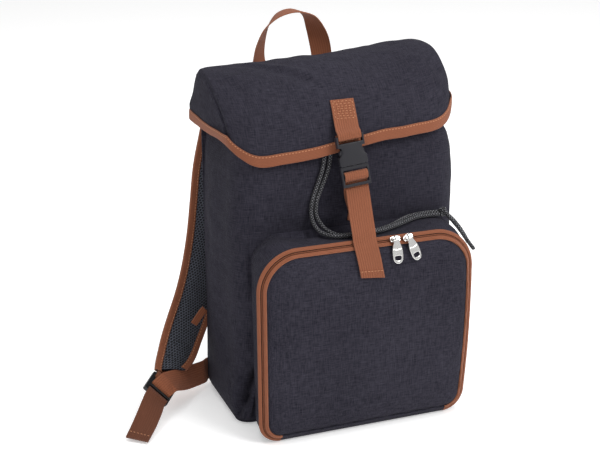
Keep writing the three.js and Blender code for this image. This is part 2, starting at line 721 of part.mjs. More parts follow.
// Gathered collar with the open mouth
function collarLoop(row, inset) {
  return Array.from({ length: COLLAR_STATIONS }, (_, k) => {
    const angle = (2 * Math.PI * k) / COLLAR_STATIONS;
    const c = Math.cos(angle);
    const s = Math.sin(angle);
    const fold = row.pleat * Math.cos(COLLAR_PLEATS * angle) - row.pleat;
    const x = Math.sign(c) * Math.abs(c) ** COLLAR_SQUARENESS * (row.half - inset + fold);
    const depth = (row.back - row.front) / 2 - inset + fold;
    const y = (row.back + row.front) / 2 + Math.sign(s) * Math.abs(s) ** COLLAR_SQUARENESS * depth;
    return vec(x, y, row.z);
  });
}
const collarGrid = (inset) => {
  const loops = COLLAR.map((row) => collarLoop(row, inset));
  return loops[0].map((_, i) => loops.map((loop) => loop[i]));
};
add('mouth_collar', wall(collarGrid(0), collarGrid(COLLAR_WALL), true), MELANGE);

// Side gussets of the flap: from just under the seam down to the side hem
function hemPoint(t, sign) {
  const rear = sign < 0 ? SIDE_HEM.left : SIDE_HEM.right;
  const corner = flapEdge(FLAP.length - 1, sign);
  const y = mix(FLAP[0].y, corner.y, t);
  const z = mix(rear.z, corner.z, t) - SIDE_HEM.dip * Math.sin(Math.PI * t);
  return vec(mix(rear.x, corner.x, t), y, z);
}
function sideGrid(sign) {
  return Array.from({ length: SIDE_RIBS + 1 }, (_, i) => {
    const t = mix(SIDE_START, SIDE_END, i / SIDE_RIBS);
    const seam = flapEdge(t * (FLAP.length - 1), sign);
    const hem = hemPoint(t, sign);
    const drop = hem.clone().sub(seam).normalize();
    const start = seam.clone().addScaledVector(drop, SEAM_DROP);
    const swell = SIDE_SWELL * hem.distanceTo(start);
    return Array.from({ length: SIDE_DROP + 1 }, (__, j) => {
      const f = j / SIDE_DROP;
      const p = start.clone().lerp(hem, f);
      p.x += sign * swell * Math.sin(Math.PI * f);
      return p;
    });
  });
}
add('flap_side_left', wall(sideGrid(-1), moved(sideGrid(-1), CLOTH)), MELANGE);
add('flap_side_right', wall(sideGrid(1), moved(sideGrid(1), -CLOTH)), MELANGE);

// Tan binding folded round the whole hem: left side, front, right side
const sideLast = SIDE_DROP;
const sideHem = (sign) => sideGrid(sign).map((column) => ({
  at: column[sideLast],
  up: column[sideLast - 1].clone().sub(column[sideLast]),
  out: vec(sign, 0, 0),
}));
const frontHem = flapGrid.map((column) => ({
  at: column[FLAP_RIBS],
  up: column[FLAP_RIBS - 1].clone().sub(column[FLAP_RIBS]),
  out: vec(0, -1, 0),
}));
const SLOT = CLOTH + 2 * BIND_ROOM;
// Folded tape: two legs, a fold past the edge, and the slot that the cloth sits in
const foldSection = (slot, leg, height, inner, lip) => [
  [lip + leg, -slot - leg],
  [lip + leg, leg],
  [-height, leg],
  [-height, 0],
  [lip, 0],
  [lip, -slot],
  [-inner, -slot],
  [-inner, -slot - leg],
];
const hemFrames = (stations) => stations.map(({ at, up, out }, k) => {
  const ahead = stations[Math.min(k + 1, stations.length - 1)].at;
  const run = ahead.clone().sub(stations[Math.max(k - 1, 0)].at).normalize();
  const down = up.clone().negate().normalize();
  const face = down.clone().cross(run).normalize();
  if (face.dot(out) < 0) face.negate();
  return { at: at.clone().addScaledVector(face, BIND_ROOM), across: down, out: face };
});
const hem = [...hemFrames(sideHem(-1)), ...hemFrames(frontHem), ...hemFrames(sideHem(1).reverse())];
add('flap_binding', sweep(hem, foldSection(SLOT, BIND_LEG, FLAP_BIND_HEIGHT, FLAP_BIND_INNER, GAP)), TAN);

// Carry handle
const handlePlaces = along(HANDLE, STEPS.handle, (r) => ({
  at: vec(r.x, r.y, r.z),
  wide: heading(r.turn),
}));
add('carry_handle', sweep(framesOf(handlePlaces), strip(HANDLE_WIDTH, WEB_THICK)), TAN);

// Buckle in its own frame: x across, y up along the strap, z out from the bag
const buckle = new THREE.Group();
const buckleAcross = vec(Math.cos(BUCKLE_LEAN), 0, Math.sin(BUCKLE_LEAN));
const buckleUp = vec(-Math.sin(BUCKLE_LEAN), 0, Math.cos(BUCKLE_LEAN));
const buckleOut = buckleAcross.clone().cross(buckleUp);
buckle.position.copy(BUCKLE_AT);
buckle.setRotationFromMatrix(new THREE.Matrix4().makeBasis(buckleAcross, buckleUp, buckleOut));
bag.add(buckle);
const inBuckle = ({ u, v, n }) => BUCKLE_AT.clone()
  .addScaledVector(buckleAcross, u).addScaledVector(buckleUp, v).addScaledVector(buckleOut, n);

const flatPoints = (points) => points.map(([x, y]) => new THREE.Vector2(x, y));
const box = (left, right, low, high) => [[left, low], [right, low], [right, high], [left, high]];
function plate(outline, holes, thick) {
  const edge = flatPoints(outline);
  const shape = new THREE.Shape(THREE.ShapeUtils.isClockWise(edge) ? edge.reverse() : edge);
  for (const hole of holes) shape.holes.push(new THREE.Path(flatPoints(hole)));
  const geometry = new THREE.ExtrudeGeometry(shape, { depth: thick, bevelEnabled: false });
  geometry.translate(0, 0, -thick / 2);
  return geometry;
}
const mirrored = (rows) => [...rows.map(({ x, y }) => [x, y]), ...rows.map(({ x, y }) => [-x, y]).reverse()];
const socketSlot = box(-SLOT_HALF, SLOT_HALF, SOCKET_SLOT_LOW, SOCKET_TOP - BAR_WIDE);
const socketBlock = toManifold(plate(mirrored(SOCKET_OUTLINE), [socketSlot], BUCKLE_THICK));
const throatBox = box(-THROAT.half, THROAT.half, SOCKET_LOW - 1, THROAT.top);
const throat = toManifold(plate(throatBox, [], PLUG_THICK + 2 * GAP));
const barRelief = plate(box(-SLOT_HALF, SLOT_HALF, SOCKET_SLOT_LOW, SOCKET_TOP + 1), [], BUCKLE_THICK);
const overBar = toManifold(barRelief.clone().translate(0, 0, (BUCKLE_THICK + BAR_THICK) / 2));
const underBar = toManifold(barRelief.translate(0, 0, -(BUCKLE_THICK + BAR_THICK) / 2));
const socket = socketBlock.subtract(throat).subtract(overBar).subtract(underBar);
add('buckle_socket', fromManifold(socket), PLASTIC, buckle);

const ladderSlots = [
  box(-SLOT_HALF, SLOT_HALF, LADDER.midTop, LADDER.upper),
  box(-SLOT_HALF, SLOT_HALF, LADDER.lower, LADDER.midLow),
];
add('buckle_plug', plate(mirrored(PLUG_OUTLINE), ladderSlots, PLUG_THICK), PLASTIC, buckle);

const flapStrapPlaces = along(FLAP_STRAP, STEPS.flapStrap, (r) => ({ at: inBuckle(r), wide: buckleAcross }));
add('flap_strap', sweep(framesOf(flapStrapPlaces), strip(WEB_WIDTH, WEB_THICK)), TAN);

const frontRun = [...[...FRONT_FOOT, ...LADDER_WRAP].map(inBuckle), ...FRONT_TAIL];
const frontRows = frontRun.map(({ x, y, z }) => ({ x, y, z }));
const frontPlaces = along(frontRows, STEPS.front, (r) => ({ at: vec(r.x, r.y, r.z), wide: buckleAcross }));
add('front_strap', sweep(framesOf(frontPlaces), strip(WEB_WIDTH, WEB_THICK)), TAN);

// Front pocket outlines: stations go from the bottom middle round by the left, the top and the right
function pocketLoop({ mid, half, low, high, rTop, rLow, sag }, inset) {
  const h = half - inset;
  const foot = low + inset;
  const head = high - inset;
  const top = Math.max(rTop - inset, 1);
  const bottom = Math.max(rLow - inset, 1);
  const { low: lowSteps, lowCorner, side, topCorner, top: topSteps } = POCKET_STEPS;
  const left = [];
  for (let k = 0; k < lowSteps; k++) left.push([mix(0, -(h - bottom), k / lowSteps), foot]);
  for (let k = 0; k < lowCorner; k++) {
    const angle = (k / lowCorner) * Math.PI / 2;
    left.push([-h + bottom - bottom * Math.sin(angle), foot + bottom - bottom * Math.cos(angle)]);
  }
  for (let k = 0; k < side; k++) left.push([-h, mix(foot + bottom, head - top, k / side)]);
  for (let k = 0; k < topCorner; k++) {
    const angle = (k / topCorner) * Math.PI / 2;
    left.push([-h + top - top * Math.cos(angle), head - top + top * Math.sin(angle)]);
  }
  const flat = [];
  for (let k = 0; k <= topSteps; k++) {
    const t = (2 * k) / topSteps - 1;
    flat.push([t * (h - top), head - sag * (1 - t * t)]);
  }
  const right = left.slice(1).map(([x, z]) => [-x, z]).reverse();
  const lean = (x, z) => POCKET_SLANT * Math.max(x / h, 0) * ((head - z) / (head - foot));
  return [...left, ...flat, ...right].map(([x, z]) => [x + mid - lean(x, z), z]);
}
const pocketRow = (loop, inset, y) => pocketLoop(loop, inset).map(([x, z]) => vec(x, y, z));
const sewnPoint = ([x, z]) => vec(x, bodyFront(x, z) + SEW_DEPTH, z);
const rearRow = (inset) => pocketLoop(POCKET_REAR, inset).map(sewnPoint);
const columnsOf = (rows) => rows[0].map((_, i) => rows.map((row) => row[i]));
const gussetOuter = columnsOf([
  rearRow(0),
  pocketRow(POCKET_WAIST, 0, POCKET_Y.waist),
  pocketRow(POCKET_RIM, 0, POCKET_Y.rim + ZIP_THICK + GAP),
]);
const gussetInner = columnsOf([
  rearRow(CLOTH),
  pocketRow(POCKET_WAIST, CLOTH, POCKET_Y.waist),
  pocketRow(POCKET_RIM, CLOTH, POCKET_Y.rim + ZIP_THICK + GAP),
]);
const bodySkin = toManifold(wall(wrapGrid(-GAP), wrapGrid(3 * SEW_DEPTH)));
const gusset = toManifold(wall(gussetOuter, gussetInner, true)).subtract(bodySkin);
add('pocket_gusset', fromManifold(gusset), MELANGE);

// Zip band between the rim and the inner frame, and the plain sill between its two ends
const rimRow = pocketRow(POCKET_RIM, 0, POCKET_Y.rim);
const innerRow = pocketRow(POCKET_INNER, 0, POCKET_Y.inner);
const stations = rimRow.length;
const bandPoint = (i, f, rise) => {
  const k = ((i % stations) + stations) % stations;
  const p = rimRow[k].clone().lerp(innerRow[k], f);
  p.y -= rise;
  return p;
};
function bandStrip([from, to], first, last, rise, thick) {
  const outer = [];
  const inner = [];
  for (let i = first; i <= last; i++) {
    outer.push([bandPoint(i, from, rise), bandPoint(i, to, rise)]);
    inner.push([bandPoint(i, from, rise - thick), bandPoint(i, to, rise - thick)]);
  }
  return wall(outer, inner);
}
const zipFirst = ZIP_END_SKIP;
const zipLast = stations - ZIP_END_SKIP;
add('zip_tape_outer', bandStrip(ZIP_BANDS.outer, zipFirst, zipLast, 0, ZIP_THICK), TAN);
add('zip_coil', bandStrip(ZIP_BANDS.coil, zipFirst, zipLast, COIL_RISE, ZIP_THICK + COIL_RISE), ZIP_DARK);
add('zip_tape_inner', bandStrip(ZIP_BANDS.inner, zipFirst, zipLast, 0, ZIP_THICK), TAN);
function sillStrip() {
  const outer = [];
  const inner = [];
  for (let i = zipLast; i <= stations + zipFirst; i++) {
    const shift = SILL_GAP * ((i === stations + zipFirst) - (i === zipLast));
    const place = (f, rise) => bandPoint(i, f, rise).add(vec(shift, 0, 0));
    outer.push([place(0, 0), place(ZIP_BANDS.inner[1], 0)]);
    inner.push([place(0, -ZIP_THICK), place(ZIP_BANDS.inner[1], -ZIP_THICK)]);
  }
  return wall(outer, inner);
}
add('pocket_sill', sillStrip(), MELANGE);

// Pocket front panel: rings from the zip inwards, gently bulged
const panelRings = PANEL_RINGS.map(({ inset, y }) => pocketRow(POCKET_INNER, inset, y));
const panelBack = PANEL_RINGS.map(({ inset, y }) => pocketRow(POCKET_INNER, inset, y + CLOTH));
function panel(rings, backs) {
  const last = rings.length - 1;
  const rows = [...backs.slice().reverse(), ...rings];
  const points = rows.flat();
  const count = rings[0].length;
  const faces = [];
  for (let r = 0; r < rows.length - 1; r++) {
    for (let i = 0; i < count; i++) {
      const a = r * count + i;
      const b = r * count + ((i + 1) % count);
      faces.push([a, b, b + count], [a, b + count, a + count]);
    }
  }
  const contour = rings[last].map((p) => new THREE.Vector2(p.x, p.z));
  const front = (rows.length - 1) * count;
  for (const [a, b, c] of capFaces(contour)) {
    faces.push([c, b, a], [front + a, front + b, front + c]);
  }
  return solid(points, faces);
}
add('pocket_front', panel(panelRings, panelBack), MELANGE);

// Zip sliders and pulls in their own frames: x along the zip, y down the band, z out of it
const bandDown = vec(0, POCKET_Y.inner - POCKET_Y.rim, POCKET_INNER.high - POCKET_RIM.high).normalize();
const bandOut = vec(1, 0, 0).cross(bandDown).negate().normalize();
function bridgeShape({ long, bridgeRise, bar, post, bevel }) {
  const reach = long / 2 - 0.5;
  const inside = reach - post;
  return new THREE.Shape(flatPoints([
    [-reach, 0],
    [-inside, 0],
    [-inside, bridgeRise - bar],
    [inside, bridgeRise - bar],
    [inside, 0],
    [reach, 0],
    [reach, bridgeRise - bevel],
    [reach - bevel, bridgeRise],
    [bevel - reach, bridgeRise],
    [-reach, bridgeRise - bevel],
  ]));
}
function sliderGeometry() {
  const { long, wide, high, bridgeWide, sink } = SLIDER;
  const body = new THREE.BoxGeometry(long, wide, high);
  body.translate(0, 0, high / 2);
  const bridge = new THREE.ExtrudeGeometry(bridgeShape(SLIDER), { depth: bridgeWide, bevelEnabled: false });
  bridge.rotateX(Math.PI / 2);
  bridge.translate(0, bridgeWide / 2, high - sink);
  return fromManifold(toManifold(body).add(toManifold(bridge)));
}
// Pull: a knuckle round the slider's bar, a neck, and a paddle with a hole near its end
const circle = (y, radius) => Array.from({ length: PULL_SIDES }, (_, k) => {
  const angle = (2 * Math.PI * k) / PULL_SIDES;
  return [radius * Math.cos(angle), y + radius * Math.sin(angle)];
});
function pullGeometry() {
  const { half, thick, hole, holeDrop, eye, eyeWall, eyeHalf } = PULL;
  const knuckle = plate(circle(0, eye + eyeWall), [circle(0, eye)], 2 * eyeHalf);
  knuckle.rotateY(Math.PI / 2);
  const edge = mirrored(PADDLE.map(({ share, drop }) => ({ x: share * half, y: -drop })));
  const paddle = plate(edge, [circle(-holeDrop, hole)], thick);
  return fromManifold(toManifold(knuckle).add(toManifold(paddle)));
}
for (const { side, x, turn } of SLIDERS) {
  const seat = vec(x, mix(POCKET_Y.rim, POCKET_Y.inner, 0.5), mix(POCKET_RIM.high, POCKET_INNER.high, 0.5));
  const slider = new THREE.Group();
  slider.position.copy(seat).addScaledVector(bandOut, SLIDER.lift);
  const turned = new THREE.Matrix4().makeRotationAxis(bandOut, THREE.MathUtils.degToRad(turn));
  const axisX = vec(1, 0, 0).applyMatrix4(turned);
  const axisY = bandDown.clone().applyMatrix4(turned).negate();
  slider.setRotationFromMatrix(new THREE.Matrix4().makeBasis(axisX, axisY, bandOut));
  bag.add(slider);
  add(`zip_slider_${side}`, sliderGeometry(), NICKEL, slider);
  const pull = add(`zip_pull_${side}`, pullGeometry(), NICKEL, slider);
  pull.position.set(0, 0, SLIDER.high - SLIDER.sink + SLIDER.bridgeRise - SLIDER.bar / 2);
  pull.rotation.x = PULL_HANG;
}

// Shoulder straps: padded band with flat edges, tape along both edges
function padFrames(rows) {
  const places = along(rows, STEPS.pad, (r) => ({
    at: vec(r.x, r.y, r.z),
    wide: heading(r.turn),
    half: r.half,
  }));
  return framesOf(places).map((frame, k) => ({ ...frame, half: places[k].half }));
}
function padSolid(frames) {
  const rows = frames.map((f) => {
    const over = PAD_PROFILE.map(({ edge, thick }) => [f.half - edge, thick]);
    const upper = [...over, [0, PAD_MIDDLE], ...over.map(([a, b]) => [-a, b]).reverse()];
    const ring = [...upper, ...upper.map(([a, b]) => [-a, -b])];
    return ring.map(([a, b]) => f.at.clone().addScaledVector(f.across, a).addScaledVector(f.out, b));
  });
  return loft(rows);
}
// Solid through a row of closed rings with flat ends
function loft(rows) {
  const count = rows[0].length;
  const points = rows.flat();
  const faces = [];
  for (let k = 0; k < rows.length - 1; k++) {
    for (let s = 0; s < count; s++) {
      const a = k * count + s;
      const b = k * count + ((s + 1) % count);
      faces.push([a, b, b + count], [a, b + count, a + count]);
    }
  }
  const end = (rows.length - 1) * count;
  for (let s = 1; s < count - 1; s++) faces.push([s + 1, s, 0], [end, end + s, end + s + 1]);
  return solid(points, faces);
}
function padBinding(frames, sign) {
  const slot = 2 * PAD_PROFILE[1].thick + 2 * GAP;
  const edges = frames.slice(1, -1).map((f) => ({
    at: f.at.clone().addScaledVector(f.across, sign * f.half).addScaledVector(f.out, slot / 2),
    across: f.across.clone().multiplyScalar(sign),
    out: f.out,
  }));
  return sweep(edges, foldSection(slot, BIND_LEG, PAD_BIND_WIDTH, PAD_BIND_WIDTH, GAP));
}
function lockFrame({ at, across, up }) {
  const v = up.clone().normalize();
  const u = across.clone().addScaledVector(v, -across.dot(v)).normalize();
  const n = u.clone().cross(v);
  const group = new THREE.Group();
  group.position.copy(at);
  group.setRotationFromMatrix(new THREE.Matrix4().makeBasis(u, v, n));
  bag.add(group);
  const place = (r) => at.clone().addScaledVector(v, r.v).addScaledVector(n, r.n);
  return { group, u, place };
}
const lockSlots = [...ladderSlots, box(-SLOT_HALF, SLOT_HALF, LOCK_LOOP_SLOT.low, LOCK_LOOP_SLOT.high)];
function strapSide({ side, rows, lock, foot, through, tail, sewn, sense }) {
  const frames = padFrames(rows);
  add(`strap_${side}_pad`, padSolid(frames), MESH_CLOTH);
  add(`strap_${side}_binding_outer`, padBinding(frames, sense), TAN);
  add(`strap_${side}_binding_inner`, padBinding(frames, -sense), TAN);
  const { group, u, place } = lockFrame(lock);
  add(`strap_${side}_lock`, plate(mirrored(LOCK_OUTLINE), lockSlots, LOCK_THICK), BLACK_PLASTIC, group);
  const asRow = (p, w) => ({ x: p.x, y: p.y, z: p.z, wx: w.x, wy: w.y, wz: w.z });
  const wide = u.clone().multiplyScalar(-1);
  const run = [...foot, ...through.map((r) => asRow(place(r), wide)), ...tail];
  const places = along(run, STEPS.webbing, ribbonPlace);
  add(`strap_${side}_webbing`, sweep(framesOf(places), strip(WEB_WIDTH, WEB_THICK)), TAN);
  const loopPlaces = along([...sewn, ...LOOP_RUN], STEPS.loop, (r) => ({ at: place(r), wide: u }));
  add(`strap_${side}_loop`, sweep(framesOf(loopPlaces), strip(WEB_WIDTH, WEB_THICK)), TAN);
}
strapSide({
  side: 'left',
  rows: PAD_LEFT,
  lock: LOCK_LEFT,
  foot: WEB_LEFT_FOOT,
  through: LOCK_RUN,
  tail: WEB_LEFT_TAIL,
  sewn: LOOP_LEFT_SEWN,
  sense: -1,
});
strapSide({
  side: 'right',
  rows: PAD_RIGHT,
  lock: LOCK_RIGHT,
  foot: WEB_RIGHT_FOOT,
  through: LADDER_WRAP,
  tail: WEB_RIGHT_TAIL,
  sewn: LOOP_RIGHT_SEWN,
  sense: 1,
});

// Small tape tab in the rear left seam
const tabPlaces = along(SIDE_TAB, STEPS.tab, ribbonPlace);
add('side_tab', sweep(framesOf(tabPlaces), strip(TAB_WIDTH, TAB_THICK)), TAN);

// Drawstring: round cord along each route, and the knot
function cordTube(rows, steps) {
  const curve = new THREE.CatmullRomCurve3(rows.map((r) => vec(r.x, r.y, r.z)));
  const ring = Array.from({ length: CORD_SIDES }, (_, k) => {
    const angle = (2 * Math.PI * k) / CORD_SIDES;
    return [(CORD / 2) * Math.cos(angle), (CORD / 2) * Math.sin(angle)];
  });
  return new THREE.ExtrudeGeometry(new THREE.Shape(flatPoints(ring)), { steps, extrudePath: curve });
}
add('cord_right', cordTube(CORD_RIGHT, STEPS.cord), CORD_GREY);
add('cord_left', cordTube(CORD_LEFT, STEPS.cord), CORD_GREY);
add('cord_tail_front', cordTube(CORD_TAIL_FRONT, STEPS.cordTail), CORD_GREY);
add('cord_tail_rear', cordTube(CORD_TAIL_REAR, STEPS.cordTail), CORD_GREY);
const knot = new THREE.SphereGeometry(1, 10, 7);
knot.scale(KNOT.long, KNOT.wide, KNOT.high);
add('cord_knot', knot, CORD_GREY).position.set(KNOT.x, KNOT.y, KNOT.z);

export default bag;
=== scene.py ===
# %% [markdown]
# # A picnic backpack
# The bag is a flap-topped rucksack of charcoal melange cloth with tan tape and webbing. Its packed
# frame says where each piece sits, so this lesson works in that frame and makes each piece again, finely:
# cloth as thin walls, webbing with its ribs, cord with its braid, and stitches. The buckle and the left
# lock are the exceptions: they sit up to 12 mm from their solids, as their own cells say.

# %% Load the frame
import math

import bmesh
import bpy
import numpy as np
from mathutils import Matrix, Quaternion, Vector
from mathutils.bvhtree import BVHTree


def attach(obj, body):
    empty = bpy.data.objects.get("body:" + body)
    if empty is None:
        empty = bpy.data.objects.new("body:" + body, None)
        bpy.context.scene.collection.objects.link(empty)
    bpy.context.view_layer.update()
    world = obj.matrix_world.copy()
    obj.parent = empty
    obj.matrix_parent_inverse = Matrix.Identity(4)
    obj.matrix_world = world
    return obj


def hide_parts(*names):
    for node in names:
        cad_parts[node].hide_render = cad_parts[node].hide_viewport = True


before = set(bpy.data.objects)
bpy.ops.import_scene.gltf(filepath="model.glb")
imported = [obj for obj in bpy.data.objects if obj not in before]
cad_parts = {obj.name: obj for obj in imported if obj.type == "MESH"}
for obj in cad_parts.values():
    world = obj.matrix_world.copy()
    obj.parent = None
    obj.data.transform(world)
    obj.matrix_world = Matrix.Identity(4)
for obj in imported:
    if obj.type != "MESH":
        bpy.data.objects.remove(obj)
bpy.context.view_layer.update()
scene = bpy.context.scene
MM = 0.001

# %% [markdown]
# ## Camera
# The picture was taken from the front left and above, with a long lens. A camera needs a place, a
# target and a focal length; the focal length is worked out from the picture's own width in pixels.

# %% Camera at the picture's angle
CAMERA_AT = Vector((-530.9, -1334.0, 705.5)) * MM
CAMERA_TARGET = Vector((-35.5, 0, 219.3)) * MM
CAMERA_ROLL = math.radians(-0.39)
FOCAL_PIXELS = 1256.1
IMAGE_WIDTH = 600
SENSOR_WIDTH = 36
CAMERA_FAR = 100

camera = bpy.data.objects.new("camera", bpy.data.cameras.new("camera"))
looking = (CAMERA_TARGET - CAMERA_AT).to_track_quat("-Z", "Y")
camera.rotation_mode = "QUATERNION"
camera.rotation_quaternion = looking @ Quaternion((0, 0, 1), CAMERA_ROLL)
camera.location = CAMERA_AT
camera.data.sensor_width = SENSOR_WIDTH
camera.data.lens = FOCAL_PIXELS * SENSOR_WIDTH / IMAGE_WIDTH
camera.data.clip_end = CAMERA_FAR
scene.collection.objects.link(camera)
scene.camera = camera
print("camera: lens", round(camera.data.lens, 1), "mm")

# %% [markdown]
# ## Tables, curves and grids
# Each piece is a few rows of sizes in millimetres. A smooth curve through the rows gives a fine grid
# of points, and numpy handles a whole grid in one line, which keeps the script short and quick.


# %% Tables and smooth curves
def table(names, *rows):
    """Rows of numbers, kept as named columns."""
    return dict(zip(names.split(), np.array(rows, float).T))


def between(rows, place):
    """Every column at a place between the rows, on a smooth curve through them."""
    place = np.asarray(place, float)
    last = len(next(iter(rows.values()))) - 1
    i = np.clip(np.floor(place).astype(int), 0, last - 1)
    f = place - i

    def smooth(column):
        a, b, c, d = (column[np.clip(i + k, 0, last)] for k in (-1, 0, 1, 2))
        return b + 0.5 * f * (c - a + f * (2 * a - 5 * b + 4 * c - d + f * (3 * (b - c) + d - a)))

    return {name: smooth(column) for name, column in rows.items()}


def run_length(path):
    """Length along a path at each of its points."""
    steps = np.linalg.norm(np.diff(path[:, :3], axis=0), axis=1)
    return np.concatenate([[0], np.cumsum(steps)])


def resampled(path, step):
    """A path at equal steps of its length; columns after the third go along."""
    run = run_length(path)
    wanted = np.linspace(0, run[-1], max(int(round(run[-1] / step)), 2) + 1)
    return np.stack([np.interp(wanted, run, column) for column in path.T], -1)


def route(rows, step):
    """All columns of a table at equal steps along its smooth path."""
    count = len(next(iter(rows.values()))) - 1
    fine = between(rows, np.linspace(0, count, 40 * count))
    return resampled(np.stack(list(fine.values()), -1), step)


def smoothed(lines, reach):
    """Rows of values averaged with their neighbours along the rows."""
    weights = np.exp(-np.linspace(-2, 2, 2 * reach + 1) ** 2)
    padded = np.pad(lines, ((reach, reach), (0, 0)), mode="edge")
    return np.stack([np.convolve(c, weights / weights.sum(), "valid") for c in padded.T], -1)


def spread(*spans):
    """Numbers that run through spans of (start, end, steps), ends shared."""
    parts = [np.linspace(a, b, n, endpoint=False) for a, b, n in spans]
    return np.concatenate([*parts, [spans[-1][1]]])


def unit(v):
    """Vectors brought to a length of one."""
    return v / np.maximum(np.linalg.norm(v, axis=-1, keepdims=True), 1e-9)


def mix(a, b, t):
    """Value between a and b by a share."""
    return a + (b - a) * t


def ease(t):
    """Share from 0 to 1 with a soft start and end."""
    t = np.clip(t, 0, 1)
    return t * t * (3 - 2 * t)


def heading(degrees):
    """Level direction at an angle from +X."""
    angle = np.radians(degrees)
    return np.stack([np.cos(angle), np.sin(angle), np.zeros_like(angle)], -1)


# %% Folds and ripples
RIPPLE_WAVES = 16
RIPPLE_HEIGHT = 2.8


def ripple(points, size, seed, stretch=(1, 1, 1)):
    """Gentle random swell of about one, with the given wavelength, from a few seeded waves."""
    draw = np.random.default_rng(seed)
    ways = unit(draw.normal(size=(RIPPLE_WAVES, 3)))
    waves = ways * draw.uniform(0.6, 1.5, (RIPPLE_WAVES, 1)) / np.array(stretch)
    phases = draw.uniform(0, 2 * np.pi, RIPPLE_WAVES)
    return np.sin(points @ waves.T * (2 * np.pi / size) + phases).sum(-1) / RIPPLE_HEIGHT


def slackness(points, rows):
    """Slack of a cloth: ripples given by their height, wavelength, seed and stretch."""
    return sum(height * ripple(points, *wave) for height, *wave in rows)


def crease(points, start, end, width, depth):
    """Height of a straight fold that fades out at both ends."""
    start, end = np.array(start, float), np.array(end, float)
    run = end - start
    t = (points - start) @ run / (run @ run)
    away = np.linalg.norm(points - start - np.clip(t, 0, 1)[..., None] * run, axis=-1)
    fade = np.sqrt(np.clip(4 * t * (1 - t), 0, 1))
    return depth * fade * np.exp(-(away / width) ** 2)


# %% Grids, walls and sweeps
def normals(grid, inside, ring=False):
    """Unit normals of a grid of points, turned away from a point inside."""
    along = np.roll(grid, -1, 0) - np.roll(grid, 1, 0) if ring else np.gradient(grid, axis=0)
    found = unit(np.cross(along, np.gradient(grid, axis=1)))
    return found if np.sum(found * (grid - np.array(inside))) > 0 else -found


def grid_faces(rows, columns, ring=False, first=0):
    """Quads of a grid of points kept row by row; a ring joins its last row to its first."""
    index = first + np.arange(rows * columns).reshape(rows, columns)
    if ring:
        index = np.vstack([index, index[:1]])
    corners = index[:-1, :-1], index[1:, :-1], index[1:, 1:], index[:-1, 1:]
    return np.stack(corners, -1).reshape(-1, 4)


def rim_faces(line, under):
    """Quads between a line of points and the same line of the grid kept after it."""
    return np.stack([line[:-1], line[1:], line[1:] + under, line[:-1] + under], -1)


def shell(outer, inner, ring=False):
    """Points and quads of the closed wall between two grids."""
    rows, columns = outer.shape[:2]
    count = rows * columns
    index = np.arange(count).reshape(rows, columns)
    closed = np.vstack([index, index[:1]]) if ring else index
    rims = [closed[:, 0], closed[:, -1]] + ([] if ring else [index[0], index[-1]])
    faces = [grid_faces(rows, columns, ring), grid_faces(rows, columns, ring, count)]
    faces += [rim_faces(line, count) for line in rims]
    return np.concatenate([outer.reshape(-1, 3), inner.reshape(-1, 3)]), np.concatenate(faces).tolist()


def grid_lengths(grid):
    """Cloth coordinates of a grid: mean lengths along its rows and columns."""
    def mean_run(points):
        steps = np.linalg.norm(np.diff(points, axis=0), axis=-1).mean(1)
        return np.concatenate([[0], np.cumsum(steps)])
    u, v = np.meshgrid(mean_run(grid), mean_run(grid.swapaxes(0, 1)), indexing="ij")
    return np.stack([u, v, np.zeros_like(u)], -1).reshape(-1, 3)


def strip_frames(path, wide):
    """Across and out directions of a strip along a path, from the wanted direction of its width."""
    run = unit(np.gradient(path, axis=0))
    across = unit(wide - np.sum(wide * run, -1, keepdims=True) * run)
    return across, np.cross(run, across)


def sweep(path, across, out, section, closed=False):
    """Points, faces and cloth coordinates of a section carried along a path; one section, or one a point."""
    section = np.broadcast_to(section, (len(path), *np.shape(section)[-2:]))
    points = path[:, None] + across[:, None] * section[..., :1] + out[:, None] * section[..., 1:]
    rows, columns = points.shape[:2]
    faces = grid_faces(columns, rows, True).tolist()
    ends = np.arange(columns) * rows
    if closed:
        after = np.roll(ends, -1)
        faces += np.stack([ends, after, after + rows - 1, ends + rows - 1], -1).tolist()
    else:
        faces += [ends.tolist(), (ends + rows - 1).tolist()]
    length = np.broadcast_to(run_length(path)[:, None], (rows, columns))
    cloth = np.stack([section[..., 0], length, np.zeros((rows, columns))], -1)
    return points.swapaxes(0, 1).reshape(-1, 3), faces, cloth.swapaxes(0, 1).reshape(-1, 3)


# %% Pieces
def piece(name, points, faces, finish, cloth=None, body="bag", node=None, sharp=50, firm=False):
    """One Blender object in the frame: mesh from millimetres, outward faces, finish and body; the solid it
    stands for is hidden.
    """
    mesh = bpy.data.meshes.new(name)
    mesh.from_pydata((np.asarray(points) * MM).tolist(), [], faces)
    if cloth is not None:
        layer = mesh.attributes.new("weave", "FLOAT_VECTOR", "POINT")
        layer.data.foreach_set("vector", (np.asarray(cloth) * MM).astype(np.float32).ravel())
    mesh.materials.append(finish)
    turned = bmesh.new()
    turned.from_mesh(mesh)
    bmesh.ops.recalc_face_normals(turned, faces=turned.faces)
    turned.to_mesh(mesh)
    turned.free()
    mesh.shade_smooth()
    mesh.set_sharp_from_angle(angle=math.radians(sharp))
    made = bpy.data.objects.new(name, mesh)
    scene.collection.objects.link(made)
    if firm:
        made.modifiers.new("flat_faces", "WEIGHTED_NORMAL").keep_sharp = True
    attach(made, body)
    if node:
        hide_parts(node)
    print(f"{name}: {len(mesh.polygons)} faces")
    return made


def declare_sheet(made, grid, held):
    """Prints the cut size of a cloth panel and how it is held."""
    w, l = grid_lengths(grid)[-1, :2] * MM
    print(f"{made.name}: cut {w / MM:.0f} x {l / MM:.0f} mm, {held}")


# %% [markdown]
# ## Finishes
# Every finish is a Principled surface fed by small node groups, so that one weave or one bit of wear
# serves several finishes. The groups read cloth coordinates that the meshes carry, in metres, so
# threads keep their real size and run along each panel as they do on the cut cloth.


